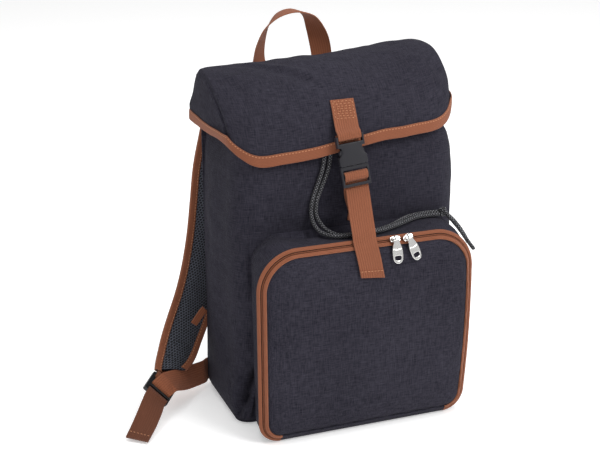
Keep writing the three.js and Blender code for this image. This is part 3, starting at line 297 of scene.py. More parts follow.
# %% Node helpers
def feed(tree, made, inputs):
    """Feeds a node's inputs with values or with other nodes' sockets."""
    for key, value in inputs.items():
        if isinstance(value, bpy.types.NodeSocket):
            tree.links.new(value, made.inputs[key])
        else:
            made.inputs[key].default_value = value


def put(tree, kind, inputs, **settings):
    """Adds a node with its settings and feeds its inputs."""
    made = tree.nodes.new(kind)
    for key, value in settings.items():
        setattr(made, key, value)
    feed(tree, made, inputs)
    return made


def place(tree, group, inputs):
    """Adds a node group and feeds its inputs."""
    made = tree.nodes.new("ShaderNodeGroup")
    made.node_tree = group
    feed(tree, made, inputs)
    return made.outputs


def sums(tree, operation, a, b=0.0):
    """Arithmetic on one or two values."""
    return put(tree, "ShaderNodeMath", {0: a, 1: b}, operation=operation).outputs[0]


def scaled(tree, vector, factors):
    """A vector with each axis scaled by its own factor."""
    return put(tree, "ShaderNodeVectorMath", {0: vector, 1: factors}, operation="MULTIPLY").outputs[0]


def noise(tree, vector, scale=1.0, detail=2.0):
    """Soft random values around a half."""
    return put(tree, "ShaderNodeTexNoise", {"Vector": vector, "Scale": scale, "Detail": detail}).outputs[0]


def ranged(tree, value, low, high, to_low=0.0, to_high=1.0):
    """A value's range from low to high, spread over another range."""
    ends = {"Value": value, "From Min": low, "From Max": high, "To Min": to_low, "To Max": to_high}
    return put(tree, "ShaderNodeMapRange", ends).outputs[0]


def new_group(name, inputs, outputs):
    """A node group with named sockets: (label, kind, value) going in and numbers coming out."""
    group = bpy.data.node_groups.new(name, "ShaderNodeTree")
    for label, kind, value in inputs:
        socket = group.interface.new_socket(name=label, in_out="INPUT", socket_type="NodeSocket" + kind)
        if value is not None:
            socket.default_value = value
    for label in outputs:
        group.interface.new_socket(name=label, in_out="OUTPUT", socket_type="NodeSocketFloat")
    return group, group.nodes.new("NodeGroupInput").outputs, group.nodes.new("NodeGroupOutput").inputs


def new_finish(name, **constants):
    """A material, its Principled surface with constants on its own sockets, and places in the frame."""
    finish = bpy.data.materials.new(name)
    finish.use_nodes = True
    tree = finish.node_tree
    surface = tree.nodes["Principled BSDF"]
    for key, value in constants.items():
        surface.inputs[key.replace("_", " ")].default_value = value
    body = put(tree, "ShaderNodeTexCoord", {}).outputs["Object"]
    print("finish:", name)
    return finish, tree, surface, body


def cloth_lines(tree):
    """Cloth coordinates that the meshes carry, in metres."""
    return put(tree, "ShaderNodeAttribute", {}, attribute_name="weave").outputs["Vector"]


COLOUR_A, COLOUR_B, COLOUR_OUT = 6, 7, 2


def blend_colours(tree, share, dark, light):
    """Colour between two colours, or two sockets, by a share."""
    mixed = put(tree, "ShaderNodeMix", {"Factor": share}, data_type="RGBA")
    for key, value in ((COLOUR_A, dark), (COLOUR_B, light)):
        feed(tree, mixed, {key: (*value, 1) if isinstance(value, tuple) else value})
    return mixed.outputs[COLOUR_OUT]


def drifting(tree, body, scale, amount, dark, light):
    """Colour that drifts slowly between two tones over a piece."""
    tone = place(tree, tone_drift, {"Vector": body, "Scale": scale, "Amount": amount})["Tone"]
    return blend_colours(tree, sums(tree, "MULTIPLY", tone, 0.5), dark, light)


def set_surface(tree, surface, colour, height, depth, roughness=None, strength=0.6):
    """Links colour, relief of a depth in metres, and roughness to a surface."""
    tree.links.new(colour, surface.inputs["Base Color"])
    bump = put(tree, "ShaderNodeBump", {"Height": height, "Strength": strength, "Distance": depth})
    tree.links.new(bump.outputs[0], surface.inputs["Normal"])
    if roughness is not None:
        tree.links.new(roughness, surface.inputs["Roughness"])


# %% Shared groups: tone drift, wear, plain weave, ribbed tape
def make_tone_drift():
    """Slow change of tone over a surface, as dye and handling leave it."""
    ins = [("Vector", "Vector", None), ("Scale", "Float", 12.0), ("Amount", "Float", 0.15)]
    group, i, o = new_group("tone_drift", ins, ["Tone"])
    cloud = noise(group, i["Vector"], i["Scale"], 3.0)
    swing = sums(group, "MULTIPLY", sums(group, "SUBTRACT", cloud, 0.5), 2.0)
    tone = sums(group, "ADD", sums(group, "MULTIPLY", swing, i["Amount"]), 1.0)
    group.links.new(tone, o["Tone"])
    return group


def make_edge_wear():
    """Mask of the edges that rub pale, broken up by a fine grain."""
    ins = [("Vector", "Vector", None), ("Scale", "Float", 900.0)]
    group, i, o = new_group("edge_wear", ins, ["Mask", "Grain"])
    point = put(group, "ShaderNodeNewGeometry", {}).outputs["Pointiness"]
    grain = noise(group, i["Vector"], i["Scale"], 4.0)
    group.links.new(sums(group, "MULTIPLY", ranged(group, point, 0.52, 0.6), grain), o["Mask"])
    group.links.new(grain, o["Grain"])
    return group


def make_plain_weave():
    """Melange plain weave: warp over weft in turn, each yarn's tone changing along its length."""
    ins = [("Vector", "Vector", None), ("Yarns", "Float", 1300.0)]
    group, i, o = new_group("plain_weave", ins, ["Fleck", "Height"])
    sized = put(group, "ShaderNodeVectorMath", {0: i["Vector"], "Scale": i["Yarns"]}, operation="SCALE")
    yarns = sized.outputs[0]
    axes = put(group, "ShaderNodeSeparateXYZ", {0: yarns}).outputs
    waves = [sums(group, "SINE", sums(group, "MULTIPLY", axes[k], math.pi)) for k in (0, 1)]
    crossing = sums(group, "MULTIPLY", *waves)
    height = sums(group, "SQRT", sums(group, "ABSOLUTE", crossing))
    over = sums(group, "GREATER_THAN", crossing, 0.0)
    weft = noise(group, scaled(group, yarns, (0.09, 0.9, 1)), 1.0, 1.0)
    warp = noise(group, scaled(group, yarns, (0.9, 0.09, 1)), 1.0, 1.0)
    top = put(group, "ShaderNodeMix", {"Factor": over, "A": weft, "B": warp}).outputs[0]
    slub_weft = noise(group, scaled(group, yarns, (0.065, 0.72, 1)), 1.0, 2.0)
    slub_warp = noise(group, scaled(group, yarns, (0.72, 0.065, 1)), 1.0, 2.0)
    slubs = sums(group, "MULTIPLY", sums(group, "ADD", slub_weft, slub_warp), 0.31)
    fleck = sums(group, "ADD", sums(group, "MULTIPLY", top, 0.38), slubs)
    group.links.new(fleck, o["Fleck"])
    group.links.new(height, o["Height"])
    return group


def make_ribbed_tape():
    """Threads of woven tape: ribs along it, with small slanted stitches of yarn between the ribs."""
    ins = [("Vector", "Vector", None), ("Ribs", "Float", 366.0), ("Yarns", "Float", 900.0)]
    group, i, o = new_group("ribbed_tape", ins, ["Groove", "Height"])
    axes = put(group, "ShaderNodeSeparateXYZ", {0: i["Vector"]}).outputs
    rib = sums(group, "MULTIPLY", axes[0], i["Ribs"])
    slant = sums(group, "PINGPONG", rib, 1.0)
    yarn = sums(group, "ADD", sums(group, "MULTIPLY", axes[1], i["Yarns"]), slant)
    thread = sums(group, "ABSOLUTE", sums(group, "SINE", sums(group, "MULTIPLY", yarn, math.pi)))
    hollow = sums(group, "ABSOLUTE", sums(group, "COSINE", sums(group, "MULTIPLY", rib, math.pi)))
    # Mask between the ribs, used as painted shade in the tape's colour.
    group.links.new(sums(group, "POWER", hollow, 5.0), o["Groove"])
    group.links.new(sums(group, "POWER", thread, 0.7), o["Height"])
    return group


tone_drift = make_tone_drift()
edge_wear = make_edge_wear()
plain_weave = make_plain_weave()
ribbed_tape = make_ribbed_tape()
print("groups:", [g.name for g in bpy.data.node_groups])

# %% [markdown]
# ## Drawstring
# A braided cord closes the collar under the flap. Its two strands come out below the flap, rest on
# the pocket's top and end in one knot with two short tails. A tube with the braid in its own surface
# was chosen over a smooth curve, because the braid shows in the cord's outline.


# %% Cord finish
CORD_WIDTH = 4.6
CORD_SIDES = 20
BRAID_TURNS = 4
BRAID_PITCH = 6.6
BRAID_DEPTH = 0.15
CORD_DARK = (0.005, 0.005, 0.007)
CORD_PALE = (0.21, 0.21, 0.225)


def make_cord_finish():
    """Braid of dark and pale grey yarns."""
    finish, tree, surface, body = new_finish(
        "cord", Roughness=0.85, Sheen_Weight=0.15, Specular_IOR_Level=0.25)
    cloth = cloth_lines(tree)
    axes = put(tree, "ShaderNodeSeparateXYZ", {0: cloth}).outputs
    turn = sums(tree, "MULTIPLY", axes[0], BRAID_TURNS / (CORD_WIDTH * MM))
    wave = sums(tree, "MULTIPLY", axes[1], 2 * math.pi / (BRAID_PITCH * MM))
    strands = [sums(tree, "SINE", sums(tree, kind, turn, wave)) for kind in ("ADD", "SUBTRACT")]
    crossing = sums(tree, "ABSOLUTE", sums(tree, "MULTIPLY", *strands))
    fleck = sums(tree, "MULTIPLY", crossing, noise(tree, scaled(tree, cloth, (700, 500, 1)), 1.0, 1.0))
    colour = blend_colours(tree, ranged(tree, fleck, 0.22, 0.42), CORD_DARK, CORD_PALE)
    set_surface(tree, surface, colour, noise(tree, body, 2600.0), 0.0003)
    return finish


cord_finish = make_cord_finish()

# %% Cord routes
XYZ = "x y z"
CORD_RIGHT = table(
    XYZ, (-16, -53.5, 358), (-17.5, -60, 348), (-20, -65, 336), (-22.5, -65.4, 322.4), (-25.4, -67, 308.1),
    (-30.9, -68.2, 294.6), (-35.8, -68.7, 283.4), (-40.2, -68.8, 272.1), (-41.6, -69, 262.8),
    (-41.2, -69.8, 253.5), (-38.6, -75, 245.6), (-34.8, -81, 240.4), (-28.4, -88, 236.3), (-20.4, -92, 234.5),
    (-7.2, -92.5, 234.3), (10.6, -91.5, 234.3), (28.9, -89.5, 234.7), (46.7, -84, 236.1),
    (65.6, -76.5, 239.6), (82.9, -72.6, 240.8), (98.7, -71.6, 241), (110.9, -73.2, 240.9))
CORD_LEFT = table(
    XYZ, (-23, -53.5, 358), (-24.5, -60, 348), (-27, -65, 336), (-29.6, -65.4, 322.8), (-32.4, -67, 308.8),
    (-38, -68.2, 293), (-43, -68.7, 280.6), (-46.6, -68.8, 267.9), (-47.6, -69.2, 257.4),
    (-47.1, -74, 247.8), (-44.8, -81, 241.4), (-41.3, -88, 238.4), (-33.7, -94.5, 236.3),
    (-23.1, -98, 235.3), (-9.6, -98.5, 235.2), (8, -97.5, 235.2),
    (26.3, -96, 235.4), (44, -91, 236.2), (62.9, -83.4, 237.4), (80.3, -78, 239.2),
    (96.3, -77, 239.4), (110.5, -78.3, 239.6))
CORD_TAIL_FRONT = table(
    XYZ, (120.6, -78.8, 237.2), (124.2, -86, 231.6), (128, -94, 225), (133.4, -101, 215), (138, -106, 207),
    (141.6, -109, 201.5))
CORD_TAIL_REAR = table(
    XYZ, (122, -73.4, 237.2), (127.4, -79, 231.6), (133, -86, 223), (137.6, -92, 213.5), (140.2, -96, 205.5))
KNOT_AT = np.array([116, -75.6, 241])
KNOT_SIZE = np.array([2.6, 1.25, 1.4])
KNOT_CORD = 2.15
KNOT_STEPS = 120
CORD_STEP = 0.8
TAIL_TAPER = 0.6


def carried_frames(path):
    """Section axes carried along a path without twist."""
    run = unit(np.gradient(path, axis=0))
    axes = [unit(np.cross(run[0], [0.3, 0.2, 1.0]))]
    for r in run[1:]:
        axes.append(unit(axes[-1] - (axes[-1] @ r) * r))
    across = np.array(axes)
    return across, np.cross(run, across)


def braided(name, node, path, across, out, radius, closed=False, taper=0.0):
    """Tube whose radius follows the crossing strands of a braid; a taper draws its far end in."""
    length = run_length(path)
    angle = np.linspace(0, 2 * np.pi, CORD_SIDES, endpoint=False)
    turn, wave = BRAID_TURNS * angle[None], 2 * np.pi * length[:, None] / BRAID_PITCH
    strands = np.maximum(np.abs(np.sin(turn + wave)), np.abs(np.sin(turn - wave)))
    r = radius * (1 - BRAID_DEPTH * (1 - strands))
    if taper:
        r *= (1 - 0.5 * np.exp(-(length[-1] - length) / taper))[:, None]
    section = np.stack([r * np.cos(angle), r * np.sin(angle)], -1)
    points, faces, cloth = sweep(path, across, out, section, closed)
    cloth[:, 0] = np.repeat(angle * radius, len(path))
    return piece(name, points, faces, cord_finish, cloth, node=node, sharp=80)


def make_knot():
    """Overhand knot: a trefoil of the same cord, pulled tight."""
    t = np.linspace(0, 2 * np.pi, KNOT_STEPS, endpoint=False)
    loop = np.stack([-np.sin(3 * t), np.sin(t) + 2 * np.sin(2 * t), np.cos(t) - 2 * np.cos(2 * t)], -1)
    path = KNOT_AT + loop * KNOT_SIZE
    run = unit(np.roll(path, -1, 0) - np.roll(path, 1, 0))
    across = unit(np.cross(run, unit(path - KNOT_AT)))
    out = np.cross(run, across)
    return braided("drawstring_knot", "cord_knot", path, across, out, KNOT_CORD, closed=True)


# %% Strands, tails and knot
CORDS = (
    ("right", CORD_RIGHT, "knot", "loose", 0),
    ("left", CORD_LEFT, "knot", "loose", 0),
    ("tail_front", CORD_TAIL_FRONT, "bare", "hanging", TAIL_TAPER),
    ("tail_rear", CORD_TAIL_REAR, "bare", "hanging", TAIL_TAPER))
knot = make_knot()
for key, rows, far_end, lay, taper in CORDS:
    path = route(rows, CORD_STEP)
    axes = carried_frames(path)
    made = braided(f"drawstring_{key}", f"cord_{key}", path, *axes, CORD_WIDTH / 2, taper=taper)

# %% [markdown]
# ## Melange cloth
# The cloth is a plain weave of charcoal yarns with paler slubs in both directions. A picture of cloth
# could be laid over it, but threads worked out from the cloth coordinates stay sharp at any distance.


# %% Cloth finish
CHARCOAL = (0.0124, 0.0117, 0.0183)
SLUB_GREY = (0.0530, 0.0497, 0.0672)


def make_melange():
    """Charcoal plain weave with paler slubs, its dye drifting slowly."""
    finish, tree, surface, body = new_finish(
        "melange_cloth", Roughness=0.9, Sheen_Weight=0.02, Sheen_Roughness=0.4, Specular_IOR_Level=0.06)
    weave = place(tree, plain_weave, {"Vector": cloth_lines(tree), "Yarns": 1300.0})
    tone = place(tree, tone_drift, {"Vector": body, "Scale": 9.0, "Amount": 0.14})["Tone"]
    share = ranged(tree, sums(tree, "MULTIPLY", weave["Fleck"], tone), 0.355, 0.69)
    colour = blend_colours(tree, share, CHARCOAL, SLUB_GREY)
    set_surface(tree, surface, colour, weave["Height"], 0.0005)
    return finish


melange = make_melange()

# %% [markdown]
# ## Main body
# One length of cloth wraps round the front and both sides; a base, a padded back and a gathered collar
# close it. It is lofted from a few level outlines, with slack and folds added along the normals, since
# a filled bag is never quite flat.

# %% Body outlines
CLOTH = 1.6
BODY = table(
    "z half front corner swell belly right",
    (3.4, 135, -58, 16, 0, 0, 0), (6.5, 137, -61, 18, 0.5, 0.5, 0), (20, 138.5, -64, 24, 2, 1, 0),
    (70, 137.5, -65, 33, 4, 1.5, 3), (140, 136.5, -65, 38, 5.5, 2, 6), (215, 136, -65, 38, 5.5, 2, 9),
    (285, 134.5, -64.5, 37, 3.5, 1.5, 11), (325, 131, -61, 35, 1, 0.5, 9), (352, 123, -51, 32, 0, 0, 0))
BODY_BACK_Y = 61.4
BODY_FOOT_Z = 3.4
BODY_TOP_Z = 352
BODY_PLACES = np.linspace(0, 8, 1601)
BODY_MIDDLE = (0, 0, 180)


def body_row(z):
    """Sizes of the body's outline at a height."""
    return between(BODY, np.interp(z, between(BODY, BODY_PLACES)["z"], BODY_PLACES))


def body_point(u, z):
    """Point of the wall: u runs 0 to 5 by left side, corner, front, corner and right side."""
    r = body_row(z)
    w = np.minimum(u, 5 - u)
    extra = np.where(u > 2.5, r["right"], 0)
    side, bend, front = np.clip(w, 0, 1), np.clip(w - 1, 0, 1) * np.pi / 2, np.clip(u - 2, 0, 1)
    turn = r["front"] + r["corner"]
    x_side = r["half"] + extra * side + r["swell"] * np.sin(np.pi * side) ** 2
    x_bend = r["half"] + extra - r["corner"] * (1 - np.cos(bend))
    x_front = mix(r["corner"] - r["half"], r["half"] + r["right"] - r["corner"], front)
    y_side = mix(BODY_BACK_Y, turn, side)
    y_front = r["front"] - 4 * r["belly"] * front * (1 - front)
    x = np.where(w < 2, np.where(w < 1, x_side, x_bend) * np.where(u > 2.5, 1, -1), x_front)
    y = np.select([w < 1, w < 2], [y_side, turn - r["corner"] * np.sin(bend)], y_front)
    return np.stack([x, y, z + 0 * u], -1)


def body_front(x, z):
    """Front face of the body at a place, for the pieces sewn to it."""
    r = body_row(np.maximum(z, BODY_FOOT_Z))
    middle = r["right"] / 2
    flat = r["half"] - r["corner"] + middle
    over = np.clip(np.abs(x - middle) - flat, 0, r["corner"])
    curved = r["front"] + r["corner"] - np.sqrt(r["corner"] ** 2 - over ** 2)
    return np.where(over > 0, curved, r["front"] - r["belly"] * (1 - ((x - middle) / flat) ** 2))


# %% Wrap-round wall
def cloth_panel(name, grid, inside, node, folds=0.0, ring=False, thick=CLOTH):
    """Wall of cloth from its outer grid, with folds added along the normals."""
    face = grid + normals(grid, inside, ring) * np.expand_dims(folds, -1)
    back = face - normals(face, inside, ring) * thick
    points, faces = shell(face, back, ring)
    cloth = np.tile(grid_lengths(grid), (2, 1))
    return piece(name, points, faces, melange, cloth, node=node)


BODY_FOLDS = (
    ((-113, -65, 74), (-130, -57.5, 24), 5, -11), ((-126, -60, 38), (-137, -46, 0), 5, -10),
    ((-112, -65, 40), (-122, -60.5, -4), 4, -6), ((-117, -64, 34), (-128, -57, 2), 4, 3),
    ((-136, -30, 44), (-139, -44, 24), 4, -4), ((-131, -53, 60), (-139, -38, 18), 7, 4.5),
    ((-128, -58, 96), (-118, -64, 52), 9, -2.4), ((-139, 20, 110), (-134, -34, 70), 9, -1.8),
    ((-141, 30, 250), (-138, -30, 228), 8, -1.5), ((-140, 36, 190), (-136, -34, 205), 8, 1.4),
    ((-139, 40, 46), (-134, -24, 30), 9, -2), ((121, -60, 60), (116, -62, 4), 7, -4))
WRAP_SLACK = ((1.1, 95, 3, (1, 1, 0.7)), (0.35, 34, 4, (1.6, 1.6, 0.7)))
FRONT_FROM, FRONT_TO = 1.6, 3.6
FRONT_RISE = 0.1
wrap_u, wrap_z = np.meshgrid(
    spread((0, 1, 44), (1, 2, 30), (2, 3, 70), (3, 4, 26), (4, 5, 44)),
    spread((BODY_FOOT_Z, 20, 14), (20, BODY_TOP_Z, 110)), indexing="ij")
wrap_grid = body_point(wrap_u, wrap_z)
wrap_seams = ease(wrap_u / 0.25) * ease((5 - wrap_u) / 0.25)
wrap_edges = wrap_seams * ease((wrap_z - 3) / 9) * ease((BODY_TOP_Z + 4 - wrap_z) / 20)
slack = slackness(wrap_grid, WRAP_SLACK)
slack *= mix(0.35, 1, ease(3.4 - wrap_u))
wrap_folds = slack + sum(crease(wrap_grid, *fold) for fold in BODY_FOLDS)
on_front = (wrap_u > FRONT_FROM) & (wrap_u < FRONT_TO)
wrap_folds = np.where(on_front, np.minimum(wrap_folds, FRONT_RISE), wrap_folds) * wrap_edges
wrap = cloth_panel("body_wrap_cloth", wrap_grid, BODY_MIDDLE, "body_wrap", wrap_folds)
declare_sheet(wrap, wrap_grid, "stretched")

# %% Base and collar
BASE_EDGE = ((0.985, 0), (0.997, 0.5), (1, 1.5), (0.997, 2.5), (0.985, 3))
COLLAR = table(
    "z half front back pleat",
    (352.4, 122.5, -50.5, 60.6, 0), (366, 112, -41, 57, 1.5), (380, 92, -22, 48, 3), (388, 84, -15, 44, 3.5))
COLLAR_PLEATS = 12
COLLAR_SQUARENESS = 0.45
COLLAR_WALL = 1.4
COLLAR_STEPS = (240, 22)
COLLAR_INSIDE = (0, 15, 340)


def make_base():
    """Flat panel under the wall, its edge rounded where it is turned in."""
    places = spread((0, 1, 20), (1, 2, 16), (2, 3, 30), (3, 4, 16), (4, 5, 20))
    edge = body_point(places, np.array(BODY_FOOT_Z))
    centre = edge.mean(0)
    rings = np.stack([centre + share * (edge - centre) for share, _ in BASE_EDGE], 1)
    rings[..., 2] = [z for _, z in BASE_EDGE]
    rows, columns = rings.shape[:2]
    first = np.arange(rows) * columns
    faces = grid_faces(rows, columns, True).tolist() + [first.tolist(), (first + columns - 1).tolist()]
    points = rings.reshape(-1, 3)
    made = piece("body_base_panel", points, faces, melange, points, node="body_base")


def make_collar():
    """Pleated collar drawn in to the open mouth."""
    turn = np.linspace(0, 2 * np.pi, COLLAR_STEPS[0], endpoint=False)
    angle, level = np.meshgrid(turn, np.linspace(0, 3, COLLAR_STEPS[1]), indexing="ij")
    r = between(COLLAR, level)
    c, s = np.cos(angle), np.sin(angle)
    fold = r["pleat"] * (np.cos(COLLAR_PLEATS * angle) - 1)
    x = np.sign(c) * np.abs(c) ** COLLAR_SQUARENESS * (r["half"] + fold)
    depth = (r["back"] - r["front"]) / 2 + fold
    y = (r["back"] + r["front"]) / 2 + np.sign(s) * np.abs(s) ** COLLAR_SQUARENESS * depth
    grid = np.stack([x, y, r["z"]], -1)
    made = cloth_panel(
        "mouth_collar_cloth", grid, COLLAR_INSIDE, "mouth_collar", ring=True, thick=COLLAR_WALL)
    declare_sheet(made, grid, "gathered")


make_base()
make_collar()

# %% [markdown]
# ## Flap
# The flap is one panel from the rear seam over the top and down the front, with a gusset at each side.
# It is ruled by ribs, each with its own middle and two seam points; the seams sit lower at the left,
# because the flap lies askew. Folds come from a short list of creases, placed on the flat cut panel.

# %% Flap surface
FLAP = table(
    "y z tilt xl yl zl xr yr zr bend",
    (66, 409, 0.05, -139, 66, 402.5, 134, 66, 416, 4),
    (44, 415.5, 0.045, -142, 46, 408, 136, 45, 421, 4),
    (16, 417.5, 0.045, -143, 25, 406, 137.5, 23, 422, 4),
    (-12, 412.5, 0.04, -143, 8, 400, 138.5, 3, 420, 4),
    (-36, 400, 0.04, -142, -8, 389, 139, -14, 412.5, 4.5),
    (-53, 382, 0.042, -140, -20, 376.5, 139.5, -26, 401, 5),
    (-64, 362, 0.05, -138, -30, 363, 140, -33, 386, 6),
    (-70, 343.5, 0.065, -137, -36, 351, 140, -37, 371, 7),
    (-72.5, 326, 0.085, -136, -41, 340, 139.5, -41, 356.5, 8))
FLAP_LAST = 8
FLAP_CROWDING = 1.5
FLAP_INSIDE = (0, 10, 330)
SIDE_HEM = {-1: (-149.5, 347), 1: (147, 374)}
SIDE_REAR_Y = 66
SIDE_DIP = {-1: 3, 1: 5}
SIDE_FLARE = {-1: 0, 1: 9}
SIDE_START = 0.01
SIDE_END = 0.975
SIDE_SWELL = 0.045
SIDE_STEPS = (64, 40)
SEAM_DROP = 0.9
SEAM_WIDTH = 1.9
SEAM_DEPTH = 3.6
HEM_RISES = ((48, 60, 6.6), (-118, 22, -2.2))
CROWN_RISES = ((104, 34, 4.8),)


def swells(x, rows):
    """Height of smooth swells, each given by its place, width and height."""
    return sum(height * np.exp(-((x - at) / width) ** 2) for at, width, height in rows)


def flap_point(rib, across):
    """Point of the flap: rib 0 at the rear seam to 8 at the front hem, across -1 to 1 by the seams."""
    r = between(FLAP, rib)
    left = across < 0
    reach = np.abs(across)
    x = reach * np.where(left, r["xl"], r["xr"])
    weight = reach ** r["bend"]
    y = mix(r["y"], np.where(left, r["yl"], r["yr"]), weight)
    z = mix(r["z"] + r["tilt"] * x, np.where(left, r["zl"], r["zr"]), weight)
    z = z + ease((rib - 5) / 3) * swells(x, HEM_RISES) + ease((4.5 - rib) / 2.5) * swells(x, CROWN_RISES)
    return np.stack([x, y, z], -1)


def hem_point(t, sign):
    """Side hem of the flap, from the rear corner to the front corner."""
    rear_x, rear_z = SIDE_HEM[sign]
    corner = flap_point(np.array(FLAP_LAST), np.array(sign))
    z = mix(rear_z, corner[2], t ** 1.4) - SIDE_DIP[sign] * np.sin(np.pi * t) * (1.6 - 1.6 * t)
    x = mix(rear_x, corner[0], t) + SIDE_FLARE[sign] * np.sin(np.pi * t * t)
    return np.stack([x, mix(SIDE_REAR_Y, corner[1], t), z], -1)


def side_grid(sign):
    """Side gusset of the flap, from under its seam down to the side hem."""
    t = np.linspace(SIDE_START, SIDE_END, SIDE_STEPS[0])
    seam, hem = flap_point(t * FLAP_LAST, np.full(SIDE_STEPS[0], sign)), hem_point(t, sign)
    start = seam + unit(hem - seam) * SEAM_DROP - np.array([sign * 0.9, 0, 0])
    f = np.linspace(0, 1, SIDE_STEPS[1])[None, :, None] ** 1.3
    grid = mix(start[:, None], hem[:, None], f)
    swell = SIDE_SWELL * np.linalg.norm(hem - start, axis=-1)[:, None] * np.sin(np.pi * f[..., 0])
    grid[..., 0] += sign * swell
    return grid


# %% Flap cloth
FLAP_FOLDS = (
    ((-100, 36), (-28, 104), 7, -2.2), ((-92, 28), (-22, 96), 4.8, 2.2), ((108, 44), (66, 100), 12, -2),
    ((-124, 71), (-110, 130), 8, -2.2), ((40, 143), (96, 127), 12, -1.6), ((-96, 130), (-40, 150), 14, 1.8))
FLAP_SLACK = ((0.8, 80, 11), (0.3, 28, 12))
TAB_AT = np.array([3, -66, 358])
TAB_REACH = np.array([22, 30, 36])
FLAP_HALF = 140
spread_across = np.linspace(-1, 1, 201)
flap_across = np.sign(spread_across) * (1 - (1 - np.abs(spread_across)) ** FLAP_CROWDING)
flap_ribs, flap_place = np.meshgrid(np.linspace(0, FLAP_LAST, 131), flap_across, indexing="ij")
flap_grid = flap_point(flap_ribs, flap_place)
flap_cut = np.stack([flap_grid[..., 0], grid_lengths(flap_grid)[:, 0].reshape(flap_ribs.shape)], -1)
tab_away = np.linalg.norm((flap_grid - TAB_AT) / TAB_REACH, axis=-1)
flap_calm = ease((tab_away - 0.8) / 0.8) * ease((FLAP_LAST - flap_ribs) / 1.2) * ease(flap_ribs / 0.6)
flap_slack = slackness(flap_grid, FLAP_SLACK)
near_hem = ease(1.6 - (FLAP_LAST - flap_ribs))
pucker = 0.35 * np.sin(flap_grid[..., 0] / 4.6 + ripple(flap_grid, 60, 13)) * near_hem
flap_folds = (flap_slack + pucker + sum(crease(flap_cut, *fold) for fold in FLAP_FOLDS)) * flap_calm
flap_edge = (1 - np.abs(flap_place)) * FLAP_HALF
flap_folds = flap_folds * ease(flap_edge / 12) - SEAM_DEPTH * np.exp(-(flap_edge / SEAM_WIDTH) ** 2)
flap = cloth_panel("flap_top_cloth", flap_grid, FLAP_INSIDE, "flap_top", flap_folds)
declare_sheet(flap, flap_grid, "draped")
for side, sign in (("left", -1), ("right", 1)):
    grid = side_grid(sign)
    from_seam = np.linalg.norm(grid - grid[:, :1], axis=-1)
    from_hem = np.linalg.norm(grid - grid[:, -1:], axis=-1)
    folds = 0.7 * ripple(grid, 40, 15) * ease(from_seam / 8) * ease((from_hem - 8) / 10)
    folds -= SEAM_DEPTH * np.exp(-(from_seam / SEAM_WIDTH) ** 2) * ease(from_hem / 8)
    gusset = cloth_panel(f"flap_side_{side}_cloth", grid, FLAP_INSIDE, f"flap_side_{side}", folds)
    declare_sheet(gusset, grid, "hung")

# %% [markdown]
# ## Tan tape
# The hem of the flap and the edges of the shoulder straps are bound with folded tan tape, sewn through
# near its edge. The tape is a rounded U swept along the hem, with a slight wave, and each stitch is a
# small thread of its own, so that it catches the light.

# %% Tape, webbing and thread finishes
# Lit and shaded tan: the tapes blend the two by their threads' height, as painted light on the crowns and
# painted shade between them.
TAN_DARK = (0.150, 0.048, 0.0225)
TAN_LIGHT = (0.300, 0.100, 0.0475)
TAN_WORN = (0.40, 0.17, 0.09)
# Painted light and shade of the lower webbing: a dark tan painted as shade over its tail, a factor that
# brightens the whole strip as painted light, and the span along it, in metres, where the painted shade sets
# in.
TAN_PAINTED_SHADE = (0.068, 0.022, 0.0105)
LOW_PAINTED_LIGHT = 1.3
PAINTED_SHADE_FROM_TO = (0.128, 0.145)


def make_tape(name, ribs, yarns, relief, dye=1.0, painted_shade_span=None):
    """Woven tan tape: fine threads, painted light on their crowns and painted shade between them and in the
    grooves, a slow change of dye and rubbed edges; a factor above one brightens it as painted light, and a
    span along it sets where painted shade darkens its end.
    """
    finish, tree, surface, body = new_finish(
        name, Roughness=0.8, Sheen_Weight=0.08, Specular_IOR_Level=0.25)
    cloth = cloth_lines(tree)
    threads = place(tree, ribbed_tape, {"Vector": cloth, "Ribs": ribs, "Yarns": yarns})
    tone = place(tree, tone_drift, {"Vector": body, "Scale": 24.0, "Amount": 0.3})["Tone"]
    wear = place(tree, edge_wear, {"Vector": body, "Scale": 1400.0})
    # Painted light and shade: the colour follows the threads' height, lighter on their crowns and darker
    # between them.
    share = sums(tree, "MULTIPLY", sums(tree, "MULTIPLY", threads["Height"], tone), 0.9)
    # A factor above one brightens both tan colours: painted light, used on the lower webbing.
    dark, light = (tuple(dye * c for c in tan) for tan in (TAN_DARK, TAN_LIGHT))
    woven = blend_colours(tree, share, dark, light)
    # Painted shade in the grooves between the ribs.
    grooved = blend_colours(tree, sums(tree, "MULTIPLY", threads["Groove"], 0.6), woven, dark)
    colour = blend_colours(tree, sums(tree, "MULTIPLY", wear["Mask"], 0.5), grooved, TAN_WORN)
    # Painted shade over the strip's far end: past the given span along it, the colour is blended most of the
    # way to the dark tan.
    if painted_shade_span:
        along = put(tree, "ShaderNodeSeparateXYZ", {0: cloth}).outputs[1]
        colour = blend_colours(tree, ranged(tree, along, *painted_shade_span, 0.0, 0.8), colour, TAN_PAINTED_SHADE)
    set_surface(tree, surface, colour, threads["Height"], relief)
    return finish


def make_thread(name, dark, light):
    """Sewing thread, a little paler where it rubs."""
    finish, tree, surface, body = new_finish(name, Roughness=0.6, Specular_IOR_Level=0.35)
    colour = drifting(tree, body, 300.0, 0.5, dark, light)
    set_surface(tree, surface, colour, noise(tree, body, 3000.0), 0.0002)
    return finish


tape = make_tape("tan_tape", 620.0, 1500.0, 0.00025)
webbing = make_tape("tan_webbing", 366.0, 760.0, 0.0004)
# Lower webbing: brightened as painted light, with painted shade over its tail.
low_webbing = make_tape("tan_webbing_low", 366.0, 760.0, 0.0004, LOW_PAINTED_LIGHT, PAINTED_SHADE_FROM_TO)
tan_thread = make_thread("tan_thread", (0.32, 0.12, 0.055), (0.62, 0.31, 0.165))
dark_thread = make_thread("dark_thread", (0.008, 0.008, 0.011), (0.03, 0.03, 0.036))

